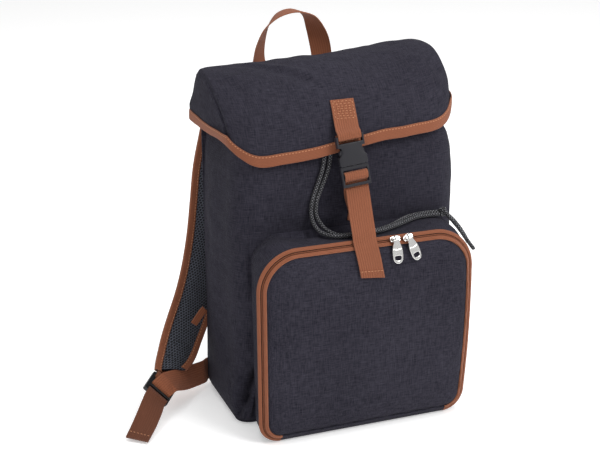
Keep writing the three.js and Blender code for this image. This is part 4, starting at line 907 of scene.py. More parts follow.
# %% Stitches
STITCH_LONG = 2.7
STITCH_GAP = 1.1
STITCH_RADIUS = 0.42
STITCH_SIDES = 6
STITCH_RINGS = np.array([-0.5, -0.32, 0, 0.32, 0.5])
STITCH_RISE = np.array([-0.45, 0.1, 0.22, 0.1, -0.45])
STITCH_SWELL = np.array([0.55, 1, 1, 1, 0.55])


def stitches(name, lines, finish=tan_thread):
    """Rows of stitches along lines, each a (path, outward normals) pair lying on its cloth."""
    centres, ups, runs = [], [], []
    for path, up in lines:
        both = resampled(np.hstack([path, up]), 0.5)
        length = run_length(both)
        count = max(int(length[-1] / (STITCH_LONG + STITCH_GAP)), 1)
        middles = (np.arange(count) + 0.5) * length[-1] / count
        at = (middles[:, None] + STITCH_RINGS * STITCH_LONG).ravel()
        values = np.stack([np.interp(at, length, c) for c in both.T], -1).reshape(count, len(STITCH_RINGS), 6)
        normal = unit(values[..., 3:])
        centres.append(values[..., :3] + normal * STITCH_RISE[None, :, None])
        ups.append(normal)
        runs.append(unit(np.gradient(values[..., :3], axis=1)))
    centre, up, run = np.concatenate(centres), np.concatenate(ups), np.concatenate(runs)
    side = unit(np.cross(run, up))
    angle = np.linspace(0, 2 * np.pi, STITCH_SIDES, endpoint=False)
    ring = side[:, :, None] * np.cos(angle)[:, None] + up[:, :, None] * np.sin(angle)[:, None]
    width = STITCH_RADIUS * STITCH_SWELL[None, :, None, None]
    points = (centre[:, :, None] + ring * width).swapaxes(1, 2)
    count, each = len(points), STITCH_SIDES * len(STITCH_RINGS)
    first = each * np.arange(count)
    quads = grid_faces(STITCH_SIDES, len(STITCH_RINGS), True)
    faces = (quads[None] + first[:, None, None]).reshape(-1, 4).tolist()
    for end in (0, len(STITCH_RINGS) - 1):
        faces += (np.arange(STITCH_SIDES)[None] * len(STITCH_RINGS) + end + first[:, None]).tolist()
    return piece(name, points.reshape(-1, 3), faces, finish, sharp=80)


# %% Flap binding
BIND_LEG = 0.8
BIND_ROOM = 0.5
BIND_LIP = 0.3
HEM_TAPE = 11.8
HEM_TAPE_INNER = 5.5
HEM_CROWN = 0.35
HEM_STITCHES = 1.9


def fold_section(slot, height, inner, crown):
    """Tape folded round an edge: a crowned outer leg, a round fold and a shorter inner leg."""
    a = np.linspace(-height, BIND_LIP - 0.4, 12)
    outer = np.stack([a, BIND_LEG + crown * np.sin(np.pi * np.linspace(0, 1, 12)) ** 0.6], -1)
    turn = np.linspace(np.pi / 2, -np.pi / 2, 9)[1:-1]
    r = slot / 2 + BIND_LEG
    fold = np.stack([BIND_LIP + 0.5 * r * np.cos(turn), -slot / 2 + r * np.sin(turn)], -1)
    back = [[BIND_LIP - 0.4, -slot - BIND_LEG], [-inner, -slot - BIND_LEG], [-inner, -slot]]
    inside = [[BIND_LIP - 0.3, -slot], [BIND_LIP - 0.3, 0], [-height, 0]]
    return np.concatenate([outer, fold, back, inside])


def hem_line():
    """Place, downward and outward directions along the whole hem: left side, front, right side."""
    rows = []
    for sign in (-1, 1):
        grid = side_grid(sign)
        at, down = grid[:, -1], unit(grid[:, -1] - grid[:, -4])
        out = unit(np.cross(down, np.gradient(at, axis=0)))
        rows.append(np.hstack([at, down, out * np.sign(out[:, :1] * sign)])[:-3])
    at, down = flap_grid[-1], unit(flap_grid[-1] - flap_grid[-5])
    out = unit(np.cross(down, np.gradient(at, axis=0)))
    front = np.hstack([at, down, -out * np.sign(out[:, 1:2])])[6:-6]
    line = resampled(np.concatenate([rows[0], front, rows[1][::-1]]), 1.6)
    return np.hstack([smoothed(line[:, :3], 7), smoothed(line[:, 3:], 16)])


def make_flap_binding():
    """Tape folded round the flap's whole hem, with its row of stitches."""
    hem = hem_line()
    at, down = hem[:, :3], unit(hem[:, 3:6])
    out = unit(hem[:, 6:] - np.sum(hem[:, 6:] * down, -1, keepdims=True) * down)
    wave = 0.3 * ripple(at, 36, 21)[:, None]
    section = fold_section(CLOTH + 2 * BIND_ROOM, HEM_TAPE, HEM_TAPE_INNER, HEM_CROWN)
    points, faces, cloth = sweep(at + out * BIND_ROOM + down * wave, down, out, section)
    piece("flap_binding_tape", points, faces, tape, cloth, node="flap_binding")
    line = at + out * (BIND_ROOM + BIND_LEG + 0.02) + down * (wave - HEM_TAPE + HEM_STITCHES)
    stitches("flap_binding_stitches", [(line[3:-3], out[3:-3])])


make_flap_binding()

# %% [markdown]
# ## Webbing
# The carry handle, the closure straps and the lower straps are ribbed webbing. A flat strip with a
# ribbed picture would do from afar, but the ribs are cut into the section itself, so edges, bends
# and the wraps round the bars all show them.

# %% Webbing sections and strips
WEB_WIDTH = 27.8
WEB_THICK = 1.6
WEB_RIBS = 11
RIB_DEPTH = 0.26
TAIL_HEM = 9
HEM_LIFT = 1.35
SKEW_REACH = 30
TAIL_SKEW = 0.28


def ribbed_section(width, ribs, depth):
    """Outline of webbing: round ribs on both faces and a firm edge at each side."""
    a = np.linspace(-width / 2, width / 2, 6 * ribs + 1)
    b = WEB_THICK / 2 - depth + depth * np.abs(np.sin(np.pi * ribs * (a / width + 0.5))) ** 0.6
    b[[0, -1]] = WEB_THICK / 3
    return np.concatenate([np.stack([a, b], -1), np.stack([a, -b], -1)[::-1]])


def strip(
        name, path, wide, node, width=WEB_WIDTH, ribs=WEB_RIBS, depth=RIB_DEPTH, hem=0.0, skew=0.0,
        finish=webbing):
    """Webbing along a path; hem is the length of its folded end, which a skew cuts at a slant."""
    across, out = strip_frames(path, wide)
    run = run_length(path)
    slant = skew * ease((run - run[-1]) / SKEW_REACH + 1)
    across = across + unit(np.gradient(path, axis=0)) * slant[:, None]
    section = np.repeat(ribbed_section(width, ribs, depth)[None], len(path), 0)
    if hem:
        section[..., 1] *= 1 + 0.8 * ease((run - run[-1] + hem) / 1.5)[:, None]
    points, faces, cloth = sweep(path, across, out, section)
    piece(name, points, faces, finish, cloth, node=node)
    return path, across, out


def on_strip(path, across, out, marks, lift=WEB_THICK / 2):
    """Line on a strip's face through marks of (run along it, place across), with its normals."""
    run = run_length(path)
    marks = resampled(np.column_stack([np.array(marks, float), np.zeros(len(marks))]), 0.8)

    def at(values):
        return np.stack([np.interp(marks[:, 0], run, c) for c in values.T], -1)

    up = unit(at(out))
    return at(path) + at(across) * marks[:, 1:2] + up * lift, up


def box_marks(low, high, half):
    """Marks of a sewn box, with its crossed diagonals."""
    corners = [(low, -half), (low, half), (high, half), (high, -half)]
    return [[corners[a], corners[b]] for a, b in ((0, 1), (1, 2), (2, 3), (3, 0), (0, 2), (1, 3))]


# %% Carry handle
HANDLE_WIDTH = 25
HANDLE_RIBS = 14
HANDLE_RIB_DEPTH = 0.14
HANDLE = table(
    "x y z turn",
    (-56.5, 69.6, 372, 0), (-57, 70.8, 388, 10), (-58, 76, 406, 38), (-55.5, 77, 424, 48),
    (-48.5, 75, 444, 60), (-35, 72, 459, 78), (-16, 70, 464, 92), (2, 70, 457.5, 108),
    (12, 70, 440, 134), (18, 70, 420, 160), (20, 69.6, 400, 177), (20, 69.75, 372, 180))
handle_line = route(HANDLE, 1.5)
handle = strip(
    "carry_handle_webbing", handle_line[:, :3], heading(handle_line[:, 3]), "carry_handle",
    HANDLE_WIDTH, HANDLE_RIBS, HANDLE_RIB_DEPTH)
handle_end = run_length(handle[0])[-1]
handle_marks = box_marks(4, 22, 9) + box_marks(handle_end - 22, handle_end - 4, 9)
stitches("carry_handle_stitches", [on_strip(*handle, marks) for marks in handle_marks])

# %% Buckle frame and closure straps
BUCKLE_AT = np.array([-3.5, -85.1, 320.3])
BUCKLE_SIZE = 0.93
BUCKLE_LEAN = math.radians(5.5)
BUCKLE_PITCH = math.radians(14)
buckle_across = np.array([math.cos(BUCKLE_LEAN), 0, math.sin(BUCKLE_LEAN)])
buckle_up = np.array([0, math.sin(BUCKLE_PITCH), 0])
buckle_up += math.cos(BUCKLE_PITCH) * np.array([-math.sin(BUCKLE_LEAN), 0, math.cos(BUCKLE_LEAN)])
buckle_axes = np.stack([buckle_across, buckle_up, np.cross(buckle_across, buckle_up)]) * BUCKLE_SIZE
FLAP_STRAP = (
    (4.6, 72.4, -15.1), (3.8, 64, -11.9), (2.6, 54, -8.5), (0.2, 38, -1.2), (0, 33.5, 2.2), (0, 31, 3.2),
    (0, 28, 3.3), (0, 25, 2.4), (0, 24.2, 0), (0, 25, -2.2), (0, 28, -3.5), (0, 31, -4.8))
LADDER_WRAP = (
    (0, -30, -6.3), (0, -20, -5.3), (0, -16, -3.4), (0, -14.7, 0), (0, -16, 3.2), (0, -20, 4),
    (0, -23.6, 2.6), (0, -25.4, -0.6), (0, -28, -3.3), (0, -32, -3.9), (0, -37, -2.6))
FRONT_FOOT = ((7.869, -78.83, -38.06), (9.819, -63.06, -33.79), (0.6, -42, -12))
FRONT_TAIL = (
    (-0.4, -98, 271), (-1.2, -106.5, 255.6), (-1.7, -113.4, 243.6), (-1.9, -117.6, 234), (-1.7, -124, 225),
    (0.4, -127.2, 212), (3.6, -128.9, 193))
TAB_SEWN = 23


def in_buckle(rows):
    """Places given across, up and out of the buckle."""
    return BUCKLE_AT + np.array(rows) @ buckle_axes


flap_strap_path = route(table(XYZ, *in_buckle(FLAP_STRAP)), 1.0)
flap_strap = strip("flap_strap_webbing", flap_strap_path, buckle_across, "flap_strap")
front_path = route(table(XYZ, *in_buckle(FRONT_FOOT + LADDER_WRAP), *FRONT_TAIL), 1.0)
front_strap = strip(
    "front_strap_webbing", front_path, buckle_across, "front_strap", hem=TAIL_HEM, skew=TAIL_SKEW)
front_end = run_length(front_path)[-1]
tab_marks = box_marks(2.5, TAB_SEWN, 11.4)[:4]
tab_marks += [[(row, -9.5 + k % 2 * 1.9), (row, 9.5)] for k, row in enumerate(np.arange(5.6, 21.5, 2.9))]
stitches("flap_strap_stitches", [on_strip(*flap_strap, marks) for marks in tab_marks])
tail_row = [(front_end - TAIL_HEM + 1, -13.5), (front_end - TAIL_HEM + 1, 13.5)]
stitches("front_strap_stitches", [on_strip(*front_strap, tail_row, HEM_LIFT)])
print("closure straps:", round(run_length(flap_strap_path)[-1]), "and", round(front_end), "mm of webbing")

# %% [markdown]
# ## Buckle
# The side-release buckle is moulded plastic. A filled curve with its holes, given depth and a round
# bevel, makes each flat moulding; the socket's two faces are crowned grids, drawn in at the prongs. It is
# drawn a little smaller than its solid and pitched back along the strap, so the socket sits about 7 mm
# and the plug about 12 mm from their solids.


# %% Plastic finish and mouldings
def make_plastic(name, dark, light, gloss):
    """Moulded plastic: a fine spark-eroded grain, pale rubbed edges and a soft gloss."""
    finish, tree, surface, body = new_finish(name, Specular_IOR_Level=0.36)
    wear = place(tree, edge_wear, {"Vector": body, "Scale": 1800.0})
    base = drifting(tree, body, 60.0, 0.2, dark, light)
    colour = blend_colours(tree, wear["Mask"], base, tuple(2.2 * c for c in light))
    rough = ranged(tree, wear["Grain"], 0.0, 1.0, gloss, gloss + 0.16)
    set_surface(tree, surface, colour, wear["Grain"], 0.0001, rough, 0.25)
    return finish


grey_plastic = make_plastic("grey_plastic", (0.0080, 0.0078, 0.0112), (0.0155, 0.015, 0.0200), 0.4)
black_plastic = make_plastic("black_plastic", (0.008, 0.008, 0.009), (0.018, 0.018, 0.02), 0.36)


MERGE_WITHIN = 1e-4


def moulded(outline, holes, thick, bevel):
    """Points and faces of a flat moulding with round edges, in its own frame: x, y and thickness z."""
    curve = bpy.data.curves.new("moulding", "CURVE")
    curve.dimensions = "2D"
    curve.fill_mode = "BOTH"
    curve.extrude = thick / 2 - bevel
    curve.bevel_depth = bevel
    curve.bevel_resolution = 2
    curve.offset = -bevel
    for line in [outline, *holes]:
        spline = curve.splines.new("POLY")
        spline.points.add(len(line) - 1)
        places = np.column_stack([line, np.zeros(len(line)), np.ones(len(line))])
        spline.points.foreach_set("co", places.ravel())
        spline.use_cyclic_u = True
    holder = bpy.data.objects.new("moulding", curve)
    mesh = bpy.data.meshes.new_from_object(holder)
    merged = bmesh.new()
    merged.from_mesh(mesh)
    bmesh.ops.remove_doubles(merged, verts=merged.verts, dist=MERGE_WITHIN)
    merged.verts.index_update()
    points = np.array([v.co for v in merged.verts])
    faces = [[v.index for v in face.verts] for face in merged.faces]
    merged.free()
    bpy.data.objects.remove(holder)
    bpy.data.curves.remove(curve)
    bpy.data.meshes.remove(mesh)
    return points, faces


def joined(*parts):
    """Several (points, faces) as one."""
    points, faces, first = [], [], 0
    for p, f in parts:
        points.append(p)
        faces += [[first + i for i in face] for face in f]
        first += len(p)
    return np.concatenate(points), faces


def hard_piece(name, mesh, at, axes, finish, node, body="bag"):
    """Hard part set into the frame at a place, on its own three axes."""
    points, faces = mesh
    placed = at + points @ np.stack(axes)
    return piece(name, placed, faces, finish, body=body, node=node, sharp=40, firm=True)


def mirrored(rows):
    """Closed outline from its right half."""
    half = np.array(rows, float)
    return np.concatenate([half, half[::-1] * np.array([-1, 1])])


def box(left, right, low, high, radius):
    """Rectangle with round corners."""
    corners = ((right, high, 0), (left, high, 1), (left, low, 2), (right, low, 3))
    middle = np.array([left + right, low + high]) / 2
    turn = np.linspace(0, np.pi / 2, 6)
    arcs = []
    for x, z, quarter in corners:
        centre = np.array([x, z]) + radius * np.sign(middle - [x, z])
        angle = turn + quarter * np.pi / 2
        arcs.append(centre + radius * np.stack([np.cos(angle), np.sin(angle)], -1))
    return np.concatenate(arcs)


def rounded(outline, count=6):
    """Closed outline drawn as a smooth curve through its corners."""
    rows = np.vstack([outline[-1:], outline, outline[:2]])
    places = np.linspace(1, len(outline) + 1, count * len(outline), endpoint=False)
    fine = between(table("x y", *rows), places)
    return np.stack([fine["x"], fine["y"]], -1)


# %% Side-release buckle
BUCKLE_THICK = 8
PLUG_THICK = 4.6
PLUG_ROOM = 0.3
SLOT_HALF = 15.5
SOCKET_TOP = 29
SOCKET_LOW = -7
SOCKET_BAR = 3.6
SOCKET_SLOT_LOW = 20.2
SOCKET_RAIL = 16.9
SOCKET_SIDE = table(
    "y w", (-7, 16.8), (-5, 17.9), (-1, 18), (3.4, 17.7), (6, 15.6), (9, 13.6), (12.5, 13), (15.5, 14.1),
    (18.5, 16.6), (20.2, 17.6))
PLUG_OUTLINE = (
    (2.4, 9.5), (2.4, -7.6), (9.4, -7.6), (10.2, 4), (10.8, 14.2), (12.6, 14.2), (16, 10.6), (16, 7),
    (13.6, 4), (13.6, -7.6), (18, -7.6), (18, -32.5))
LADDER_SLOTS = ((-18.2, -12), (-29, -21.4))
SLOT_CORNER = 0.8
SOCKET_STEPS = (46, 31)


def ladder_slots(spans, half, middle=0):
    """Slots of a ladder bar, each between two heights."""
    return [box(middle - half, middle + half, low, high, SLOT_CORNER) for low, high in spans]


def socket_face(sign):
    """Crowned plate of the socket, front or rear, with its sides drawn in at the prong windows."""
    up, across = SOCKET_STEPS
    rows = between(SOCKET_SIDE, np.linspace(0, len(SOCKET_SIDE["y"]) - 1, up))
    s = np.sin(np.linspace(-1, 1, across) * np.pi / 2)
    inner = PLUG_THICK / 2 + PLUG_ROOM
    edge = (1 - np.abs(s) ** 6) ** 0.5
    ends = (1 - np.abs(np.linspace(-1, 1, up)) ** 20) ** 0.5
    crown = 0.5 * (1 - s ** 2)[None] * np.cos(np.linspace(-0.9, 0.9, up))[:, None]
    face = inner + (BUCKLE_THICK / 2 - inner) * (0.35 + 0.65 * edge[None] * ends[:, None]) + crown
    x = rows["w"][:, None] * s[None]
    y = np.repeat(rows["y"][:, None], across, 1)
    return shell(np.stack([x, y, sign * face], -1), np.stack([x, y, np.full_like(x, sign * inner)], -1))


def make_buckle():
    """Socket with its yoke, rails and bar, and the plug with its ladder slots."""
    arm = ((17.6, 15.6), (17.6, SOCKET_TOP), (SLOT_HALF, SOCKET_TOP), (SLOT_HALF, SOCKET_SLOT_LOW))
    yoke = moulded(mirrored(arm), [], BUCKLE_THICK - 0.6, 0.6)
    bar = moulded(box(-16, 16, SOCKET_TOP - SOCKET_BAR, SOCKET_TOP - 0.3, 0.7), [], 2.4, 0.6)
    rails = [
        moulded(box(x - 1.15, x + 1.15, SOCKET_LOW + 0.6, 4.2, 0.8), [], PLUG_THICK + 1.4, 0.5)
        for x in (-SOCKET_RAIL, SOCKET_RAIL)]
    socket = joined(socket_face(1), socket_face(-1), yoke, bar, *rails)
    plug = moulded(mirrored(PLUG_OUTLINE), ladder_slots(LADDER_SLOTS, SLOT_HALF), PLUG_THICK, 0.6)
    for part, mesh in (("socket", socket), ("plug", plug)):
        hard_piece(
            f"buckle_{part}_moulding", mesh, BUCKLE_AT, buckle_axes, grey_plastic,
            f"buckle_{part}")


make_buckle()

# %% [markdown]
# ## Front pocket
# The pocket is a boxed panel: a gusset all round, a zip band at its front edge, and a front panel that
# bulges a little. Its outlines are rounded frames, worked out at each depth from a row of sizes.

# %% Pocket outlines
POCKET_ROWS = {
    "rear": dict(mid=7, half=124, low=6.5, high=236.5, r_top=33, r_low=22, sag=0),
    "waist": dict(mid=5, half=129.5, low=1, high=235.5, r_top=39, r_low=23, sag=4.5),
    "rim": dict(mid=3, half=132, low=1, high=234, r_top=48, r_low=25, sag=0),
    "inner": dict(mid=3, half=123, low=9.5, high=225, r_top=40, r_low=17, sag=0),
}
WAIST_Y, RIM_Y, INNER_Y = -90, -113, -120.5
POCKET_SLANT = 6
POCKET_BULGE = 4.5
STATIONS = dict(low=24, low_corner=14, side=50, top_corner=24, top=70)
ZIP_THICK = 1.4
SEWN_IN = 0.4
POCKET_MIDDLE = (3, -85, 118)


def pocket_loop(mid, half, low, high, r_top, r_low, sag, inset=0.0):
    """Rounded frame in x and z, from the bottom middle round by the left, the top and the right."""
    h, foot, head = half - inset, low + inset, high - inset
    top, bottom = max(r_top - inset, 1), max(r_low - inset, 1)
    t = [np.linspace(0, 1, STATIONS[k], endpoint=False) for k in ("low", "low_corner", "side", "top_corner")]
    a, b = t[1] * np.pi / 2, t[3] * np.pi / 2
    x = np.concatenate([
        -t[0] * (h - bottom), -h + bottom - bottom * np.sin(a), np.full(STATIONS["side"], -h),
        -h + top - top * np.cos(b)])
    z = np.concatenate([
        np.full(STATIONS["low"], foot), foot + bottom - bottom * np.cos(a),
        mix(foot + bottom, head - top, t[2]), head - top + top * np.sin(b)])
    across = np.linspace(-1, 1, STATIONS["top"] + 1)
    x = np.concatenate([x, across * (h - top), -x[:0:-1]])
    z = np.concatenate([z, head - sag * (1 - across ** 2), z[:0:-1]])
    drop = (head - z) / (head - foot)
    return x + mid + np.maximum(x / h, 0) * (4 * POCKET_BULGE * drop * (1 - drop) - POCKET_SLANT * drop), z


def pocket_row(key, y=None, inset=0.0):
    """Places of an outline at a depth, or on the body's front where no depth is given."""
    x, z = pocket_loop(**POCKET_ROWS[key], inset=inset)
    return np.stack([x, body_front(x, z) + SEWN_IN if y is None else np.full_like(x, y), z], -1)


def through_rows(rows, count):
    """Grid on smooth curves through rows of points."""
    columns = dict(enumerate(rows.reshape(len(rows), -1).T))
    fine = between(columns, np.linspace(0, len(rows) - 1, count))
    return np.stack(list(fine.values()), -1).reshape(count, -1, 3).swapaxes(0, 1)


# %% Gusset
GUSSET_FOLDS = (
    ((-118, -72, 214), (-84, -104, 232), 7, 2.6), ((-92, -67, 235), (-6, -80, 234), 8, -9),
    ((-128, -70, 200), (-96, -74, 228), 6, -2.6), ((-122, -72, 60), (-127, -108, 30), 7, -2.8),
    ((-121, -74, 120), (-128, -104, 96), 9, -1.8), ((-121, -74, 176), (-128, -104, 188), 9, -1.6),
    ((132, -74, 150), (136, -104, 120), 9, -1.5))
GUSSET_STEPS = 27
CORDS_ABOVE_Z = 225
CORDS_FROM_X = -60
FOOT_BELOW_Z = 12
gusset_rows = [pocket_row("rear"), pocket_row("waist", WAIST_Y), pocket_row("rim", RIM_Y + ZIP_THICK + 0.3)]
gusset_grid = through_rows(np.stack(gusset_rows), GUSSET_STEPS)
gusset_calm = np.sin(np.pi * np.linspace(0, 1, GUSSET_STEPS))[None] ** 0.7
gusset_folds = 0.7 * ripple(gusset_grid, 46, 31) + sum(crease(gusset_grid, *fold) for fold in GUSSET_FOLDS)
under_cords = (gusset_grid[..., 2] > CORDS_ABOVE_Z) & (gusset_grid[..., 0] > CORDS_FROM_X)
held_down = under_cords | (gusset_grid[..., 2] < FOOT_BELOW_Z)
gusset_folds = np.where(held_down, np.minimum(gusset_folds, 0), gusset_folds) * gusset_calm
pocket_wall = cloth_panel(
    "pocket_gusset_cloth", gusset_grid, POCKET_MIDDLE, "pocket_gusset", gusset_folds, ring=True)
declare_sheet(pocket_wall, gusset_grid, "stretched")

# %% Front panel
PANEL = table("inset y", (0.6, -118.6), (5, -122.6), (24, -126), (62, -128), (106, -128.6))
PANEL_RINGS = 44
FRILL_AT = np.array([-110, 208])
FRILL_REACH = 34


def make_pocket_front():
    """Rings from the zip inwards, gently bulged, with small puckers where the zip is sewn on."""
    inset = mix(PANEL["inset"][0], PANEL["inset"][-1], np.linspace(0, 1, PANEL_RINGS) ** 1.25)
    y = smoothed(np.interp(inset, PANEL["inset"], PANEL["y"])[:, None], 3)[:, 0]
    y[0] = PANEL["y"][0]
    rings = np.stack([pocket_row("inner", depth, d) for depth, d in zip(y, inset)], 1)
    station = run_length(rings[:, 0])[:, None]
    at_edge = (np.exp(-inset / 9) * ease(inset / 2))[None]
    gather = 0.9 * np.sin(station / 3.7 + 1.5 * ripple(rings, 70, 41)) * at_edge
    slack = 0.55 * ripple(rings, 110, 42) * ease(inset / 30)[None]
    slack += 0.16 * ripple(rings, 30, 43) * ease(inset / 12)[None]
    rings[..., 1] -= np.clip(gather + slack, -1.4, 0.25)
    near_corner = np.exp(-np.sum((rings[:, :1, [0, 2]] - FRILL_AT) ** 2, -1) / FRILL_REACH ** 2)
    frill = (0.3 + 1.2 * near_corner) * (0.5 + 0.5 * np.sin(station / 1.05 + ripple(rings[:, :1], 30, 44)))
    outward = unit(rings[:, :1] - rings[:, 8:9]) * np.array([1, 0, 1])
    rings += outward * (frill * ease(inset / 0.8)[None] * np.exp(-inset / 3.5)[None])[..., None]
    rows, columns = rings.shape[:2]
    count = rows * columns
    rim = np.arange(rows + 1) % rows * columns
    centre = np.arange(rows) * columns + columns - 1
    walls = grid_faces(rows, columns, True), grid_faces(rows, columns, True, count), rim_faces(rim, count)
    faces = np.concatenate(walls).tolist() + [centre.tolist(), (centre + count).tolist()]
    points = np.concatenate([rings.reshape(-1, 3), (rings + np.array([0, CLOTH, 0])).reshape(-1, 3)])
    made = piece(
        "pocket_front_cloth", points, faces, melange, points[:, [0, 2, 1]],
        node="pocket_front")


make_pocket_front()

# %% [markdown]
# ## Zip
# Two tan tapes run round the pocket's front edge with a nylon coil between them; at the bottom a plain
# strip of cloth joins the two ends. The tapes are soft, crowned strips, and the coil's teeth are small
# bars set by a loop, because a row of real teeth glints as the eye moves along it.

# %% Zip band
OUTER_BAND, COIL_BAND, INNER_BAND, SILL_BAND = (-0.03, 0.35), (0.43, 0.54), (0.61, 0.97), (0, 0.97)
BAND_STEPS = 9
BAND_MIDDLE = np.array([3, -105, 118])
ZIP_SKIP = STATIONS["low"]
rim_row, inner_row = pocket_row("rim", RIM_Y), pocket_row("inner", INNER_Y)
zip_part = np.arange(ZIP_SKIP, len(rim_row) - ZIP_SKIP + 1)
sill_part = np.arange(-ZIP_SKIP, ZIP_SKIP + 1)


def band_grid(part, band, rise, crown=0.0, wave=0.0, seed=0):
    """Strip of the band between two shares of its width, crowned and a little wavy."""
    f, s = np.linspace(*band, BAND_STEPS), np.linspace(-1, 1, BAND_STEPS)
    grid = rim_row[part][:, None] + (inner_row - rim_row)[part][:, None] * f[None, :, None]
    lift = rise + crown * (1 - np.abs(s) ** 2.5)[None] + wave * ripple(grid, 16, seed) * (0.7 + 0.3 * s)[None]
    return grid + normals(grid, BAND_MIDDLE) * lift[..., None]


def band_piece(name, part, band, node, finish, crown, wave=0.0, seed=0):
    """Soft strip of the band as a closed wall."""
    face = band_grid(part, band, 0.0, crown, wave, seed)
    points, faces = shell(face, band_grid(part, band, -ZIP_THICK))
    cloth = np.tile(grid_lengths(face)[:, [1, 0, 2]], (2, 1))
    return piece(name, points, faces, finish, cloth, node=node)


band_piece("zip_tape_outer_band", zip_part, OUTER_BAND, "zip_tape_outer", tape, 0.8, 0.12, 51)
band_piece("zip_tape_inner_band", zip_part, INNER_BAND, "zip_tape_inner", tape, 0.55, 0.5, 52)
band_piece("pocket_sill_cloth", sill_part, SILL_BAND, "pocket_sill", melange, 0.3)

# %% Zip teeth
COIL_SINK = -0.9
COIL_DARK = (0.100, 0.031, 0.015)
COIL_LIGHT = (0.260, 0.083, 0.038)
COIL_WORN = (0.24, 0.09, 0.05)
TOOTH_PITCH = 1.7
TOOTH_HALF = 0.33
TOOTH_HOOK = 0.2
TOOTH_ARCH = ((-0.8, -0.2), (-0.7, 0.4), (-0.4, 0.65), (0.4, 0.65), (0.7, 0.4), (0.8, -0.2))


def make_coil_finish():
    """Tan nylon monofilament, darker between the turns."""
    finish, tree, surface, body = new_finish("zip_coil", Roughness=0.6, Specular_IOR_Level=0.15)
    wear = place(tree, edge_wear, {"Vector": body, "Scale": 1500.0})
    base = drifting(tree, body, 90.0, 0.5, COIL_DARK, COIL_LIGHT)
    colour = blend_colours(tree, wear["Mask"], base, COIL_WORN)
    set_surface(tree, surface, colour, wear["Grain"], 0.0001, strength=0.3)
    return finish


def make_coil():
    """Narrow strip with the coil's turns standing on it, hooked in from both sides in turn."""
    strip_face = band_grid(zip_part, COIL_BAND, COIL_SINK)
    across = unit(inner_row - rim_row)[zip_part]
    fine = resampled(np.hstack([strip_face[:, BAND_STEPS // 2], across]), TOOTH_PITCH / 2)
    line, side = fine[:, :3], unit(fine[:, 3:])
    run = unit(np.gradient(line, axis=0))
    up = unit(np.cross(run, side))
    up *= np.sign(np.sum(up * (line - BAND_MIDDLE), -1, keepdims=True))
    shift = np.where(np.arange(len(line)) % 2, TOOTH_HOOK, -TOOTH_HOOK)[:, None]
    halves = (-TOOTH_HALF, TOOTH_HALF)
    corners = [line + side * (a + shift) + up * b + run * w for a, b in TOOTH_ARCH for w in halves]
    each = len(corners)
    one = [[k, k + 1, k + 3, k + 2] for k in range(0, each - 2, 2)]
    one += [[each - 2, each - 1, 1, 0], list(range(0, each, 2)), list(range(each - 1, 0, -2))]
    turns = [[each * n + i for i in f] for n in range(len(line)) for f in one]
    teeth = np.stack(corners, 1).reshape(-1, 3), turns
    points, faces = joined(shell(strip_face, band_grid(zip_part, COIL_BAND, -ZIP_THICK)), teeth)
    piece("zip_coil_teeth", points, faces, make_coil_finish(), node="zip_coil", sharp=35)
    print("zip:", len(line), "turns of coil")


make_coil()

# %% [markdown]
# ## Sliders and pulls
# Two nickel sliders meet near the middle of the zip's top run, each with a paddle-shaped pull that
# hangs from its bridge and can be lifted. The pulls are their own bodies, so they ride on their hinges.

# %% Metal finish, sliders and pulls
SLIDER = dict(
    long=12, wide=8.6, high=2.6, lift=1.1, bridge_wide=2.6, bridge_rise=4.6, bar=1.4, post=1.9, sink=0.2)
KNUCKLE = dict(outer=3.0, bore=1.8, wide=4.4, sides=24)
PULL_HANG = math.radians(24)
PULL_OUTLINE = ((3.2, -2.3), (3.5, -5), (4.9, -9), (6.1, -14), (6.2, -21), (5.2, -26), (2.4, -29))
PULL_SLOT = ((3, -20.7), (3.9, -22.2), (3.6, -24.6), (1.2, -25.9))
PULL_RIDGE = ((0.6, -13), (5, -12.2), (5, -13.4), (0.6, -14.4))
SLIDERS = (("left", 34.5, 0), ("right", 50.5, 20))
rim_top, inner_top = POCKET_ROWS["rim"]["high"], POCKET_ROWS["inner"]["high"]
band_down = unit(np.array([0, INNER_Y - RIM_Y, inner_top - rim_top]))
band_out = unit(-np.cross([1, 0, 0], band_down))


def make_nickel():
    """Bright nickel plate, a little uneven in its polish."""
    finish, tree, surface, body = new_finish("nickel", Metallic=1.0)
    grain = place(tree, edge_wear, {"Vector": body, "Scale": 700.0})["Grain"]
    colour = blend_colours(tree, grain, (0.86, 0.85, 0.83), (0.96, 0.95, 0.93))
    set_surface(tree, surface, colour, grain, 0.00002, ranged(tree, grain, 0.0, 1.0, 0.14, 0.26), 0.2)
    return finish


nickel = make_nickel()


def turned_about(v, axis, degrees):
    """A vector turned about a unit axis."""
    return np.array(Quaternion(axis, math.radians(degrees)) @ Vector(v))


def slider_mesh():
    """Rounded slider body with its bridge; x along the zip, y up the band, z out of it."""
    half, wide, high, rise = SLIDER["long"] / 2, SLIDER["wide"] / 2, SLIDER["high"], SLIDER["bridge_rise"]
    nose = np.array([
        (half, 1.6), (half - 1.5, wide - 0.6), (1.5, wide), (2 - half, wide - 1.2), (-half, wide - 2.4)])
    plate, plate_faces = moulded(rounded(np.concatenate([nose, nose[::-1] * [1, -1]]), 4), [], high, 0.5)
    reach, under = half - 0.5, rise - SLIDER["bar"]
    inside = reach - SLIDER["post"]
    arch = mirrored((
        (inside - 0.8, under), (inside, under - 0.8), (inside, 0), (reach, 0), (reach, rise - 1.6),
        (reach - 0.5, rise - 0.5), (reach - 1.6, rise)))
    bridge, bridge_faces = moulded(arch, [], SLIDER["bridge_wide"], 0.35)
    upright = bridge[:, [0, 2, 1]] * [1, -1, 1] + [0, 0, high - SLIDER["sink"]]
    return joined((plate + [0, 0, high / 2], plate_faces), (upright, bridge_faces))


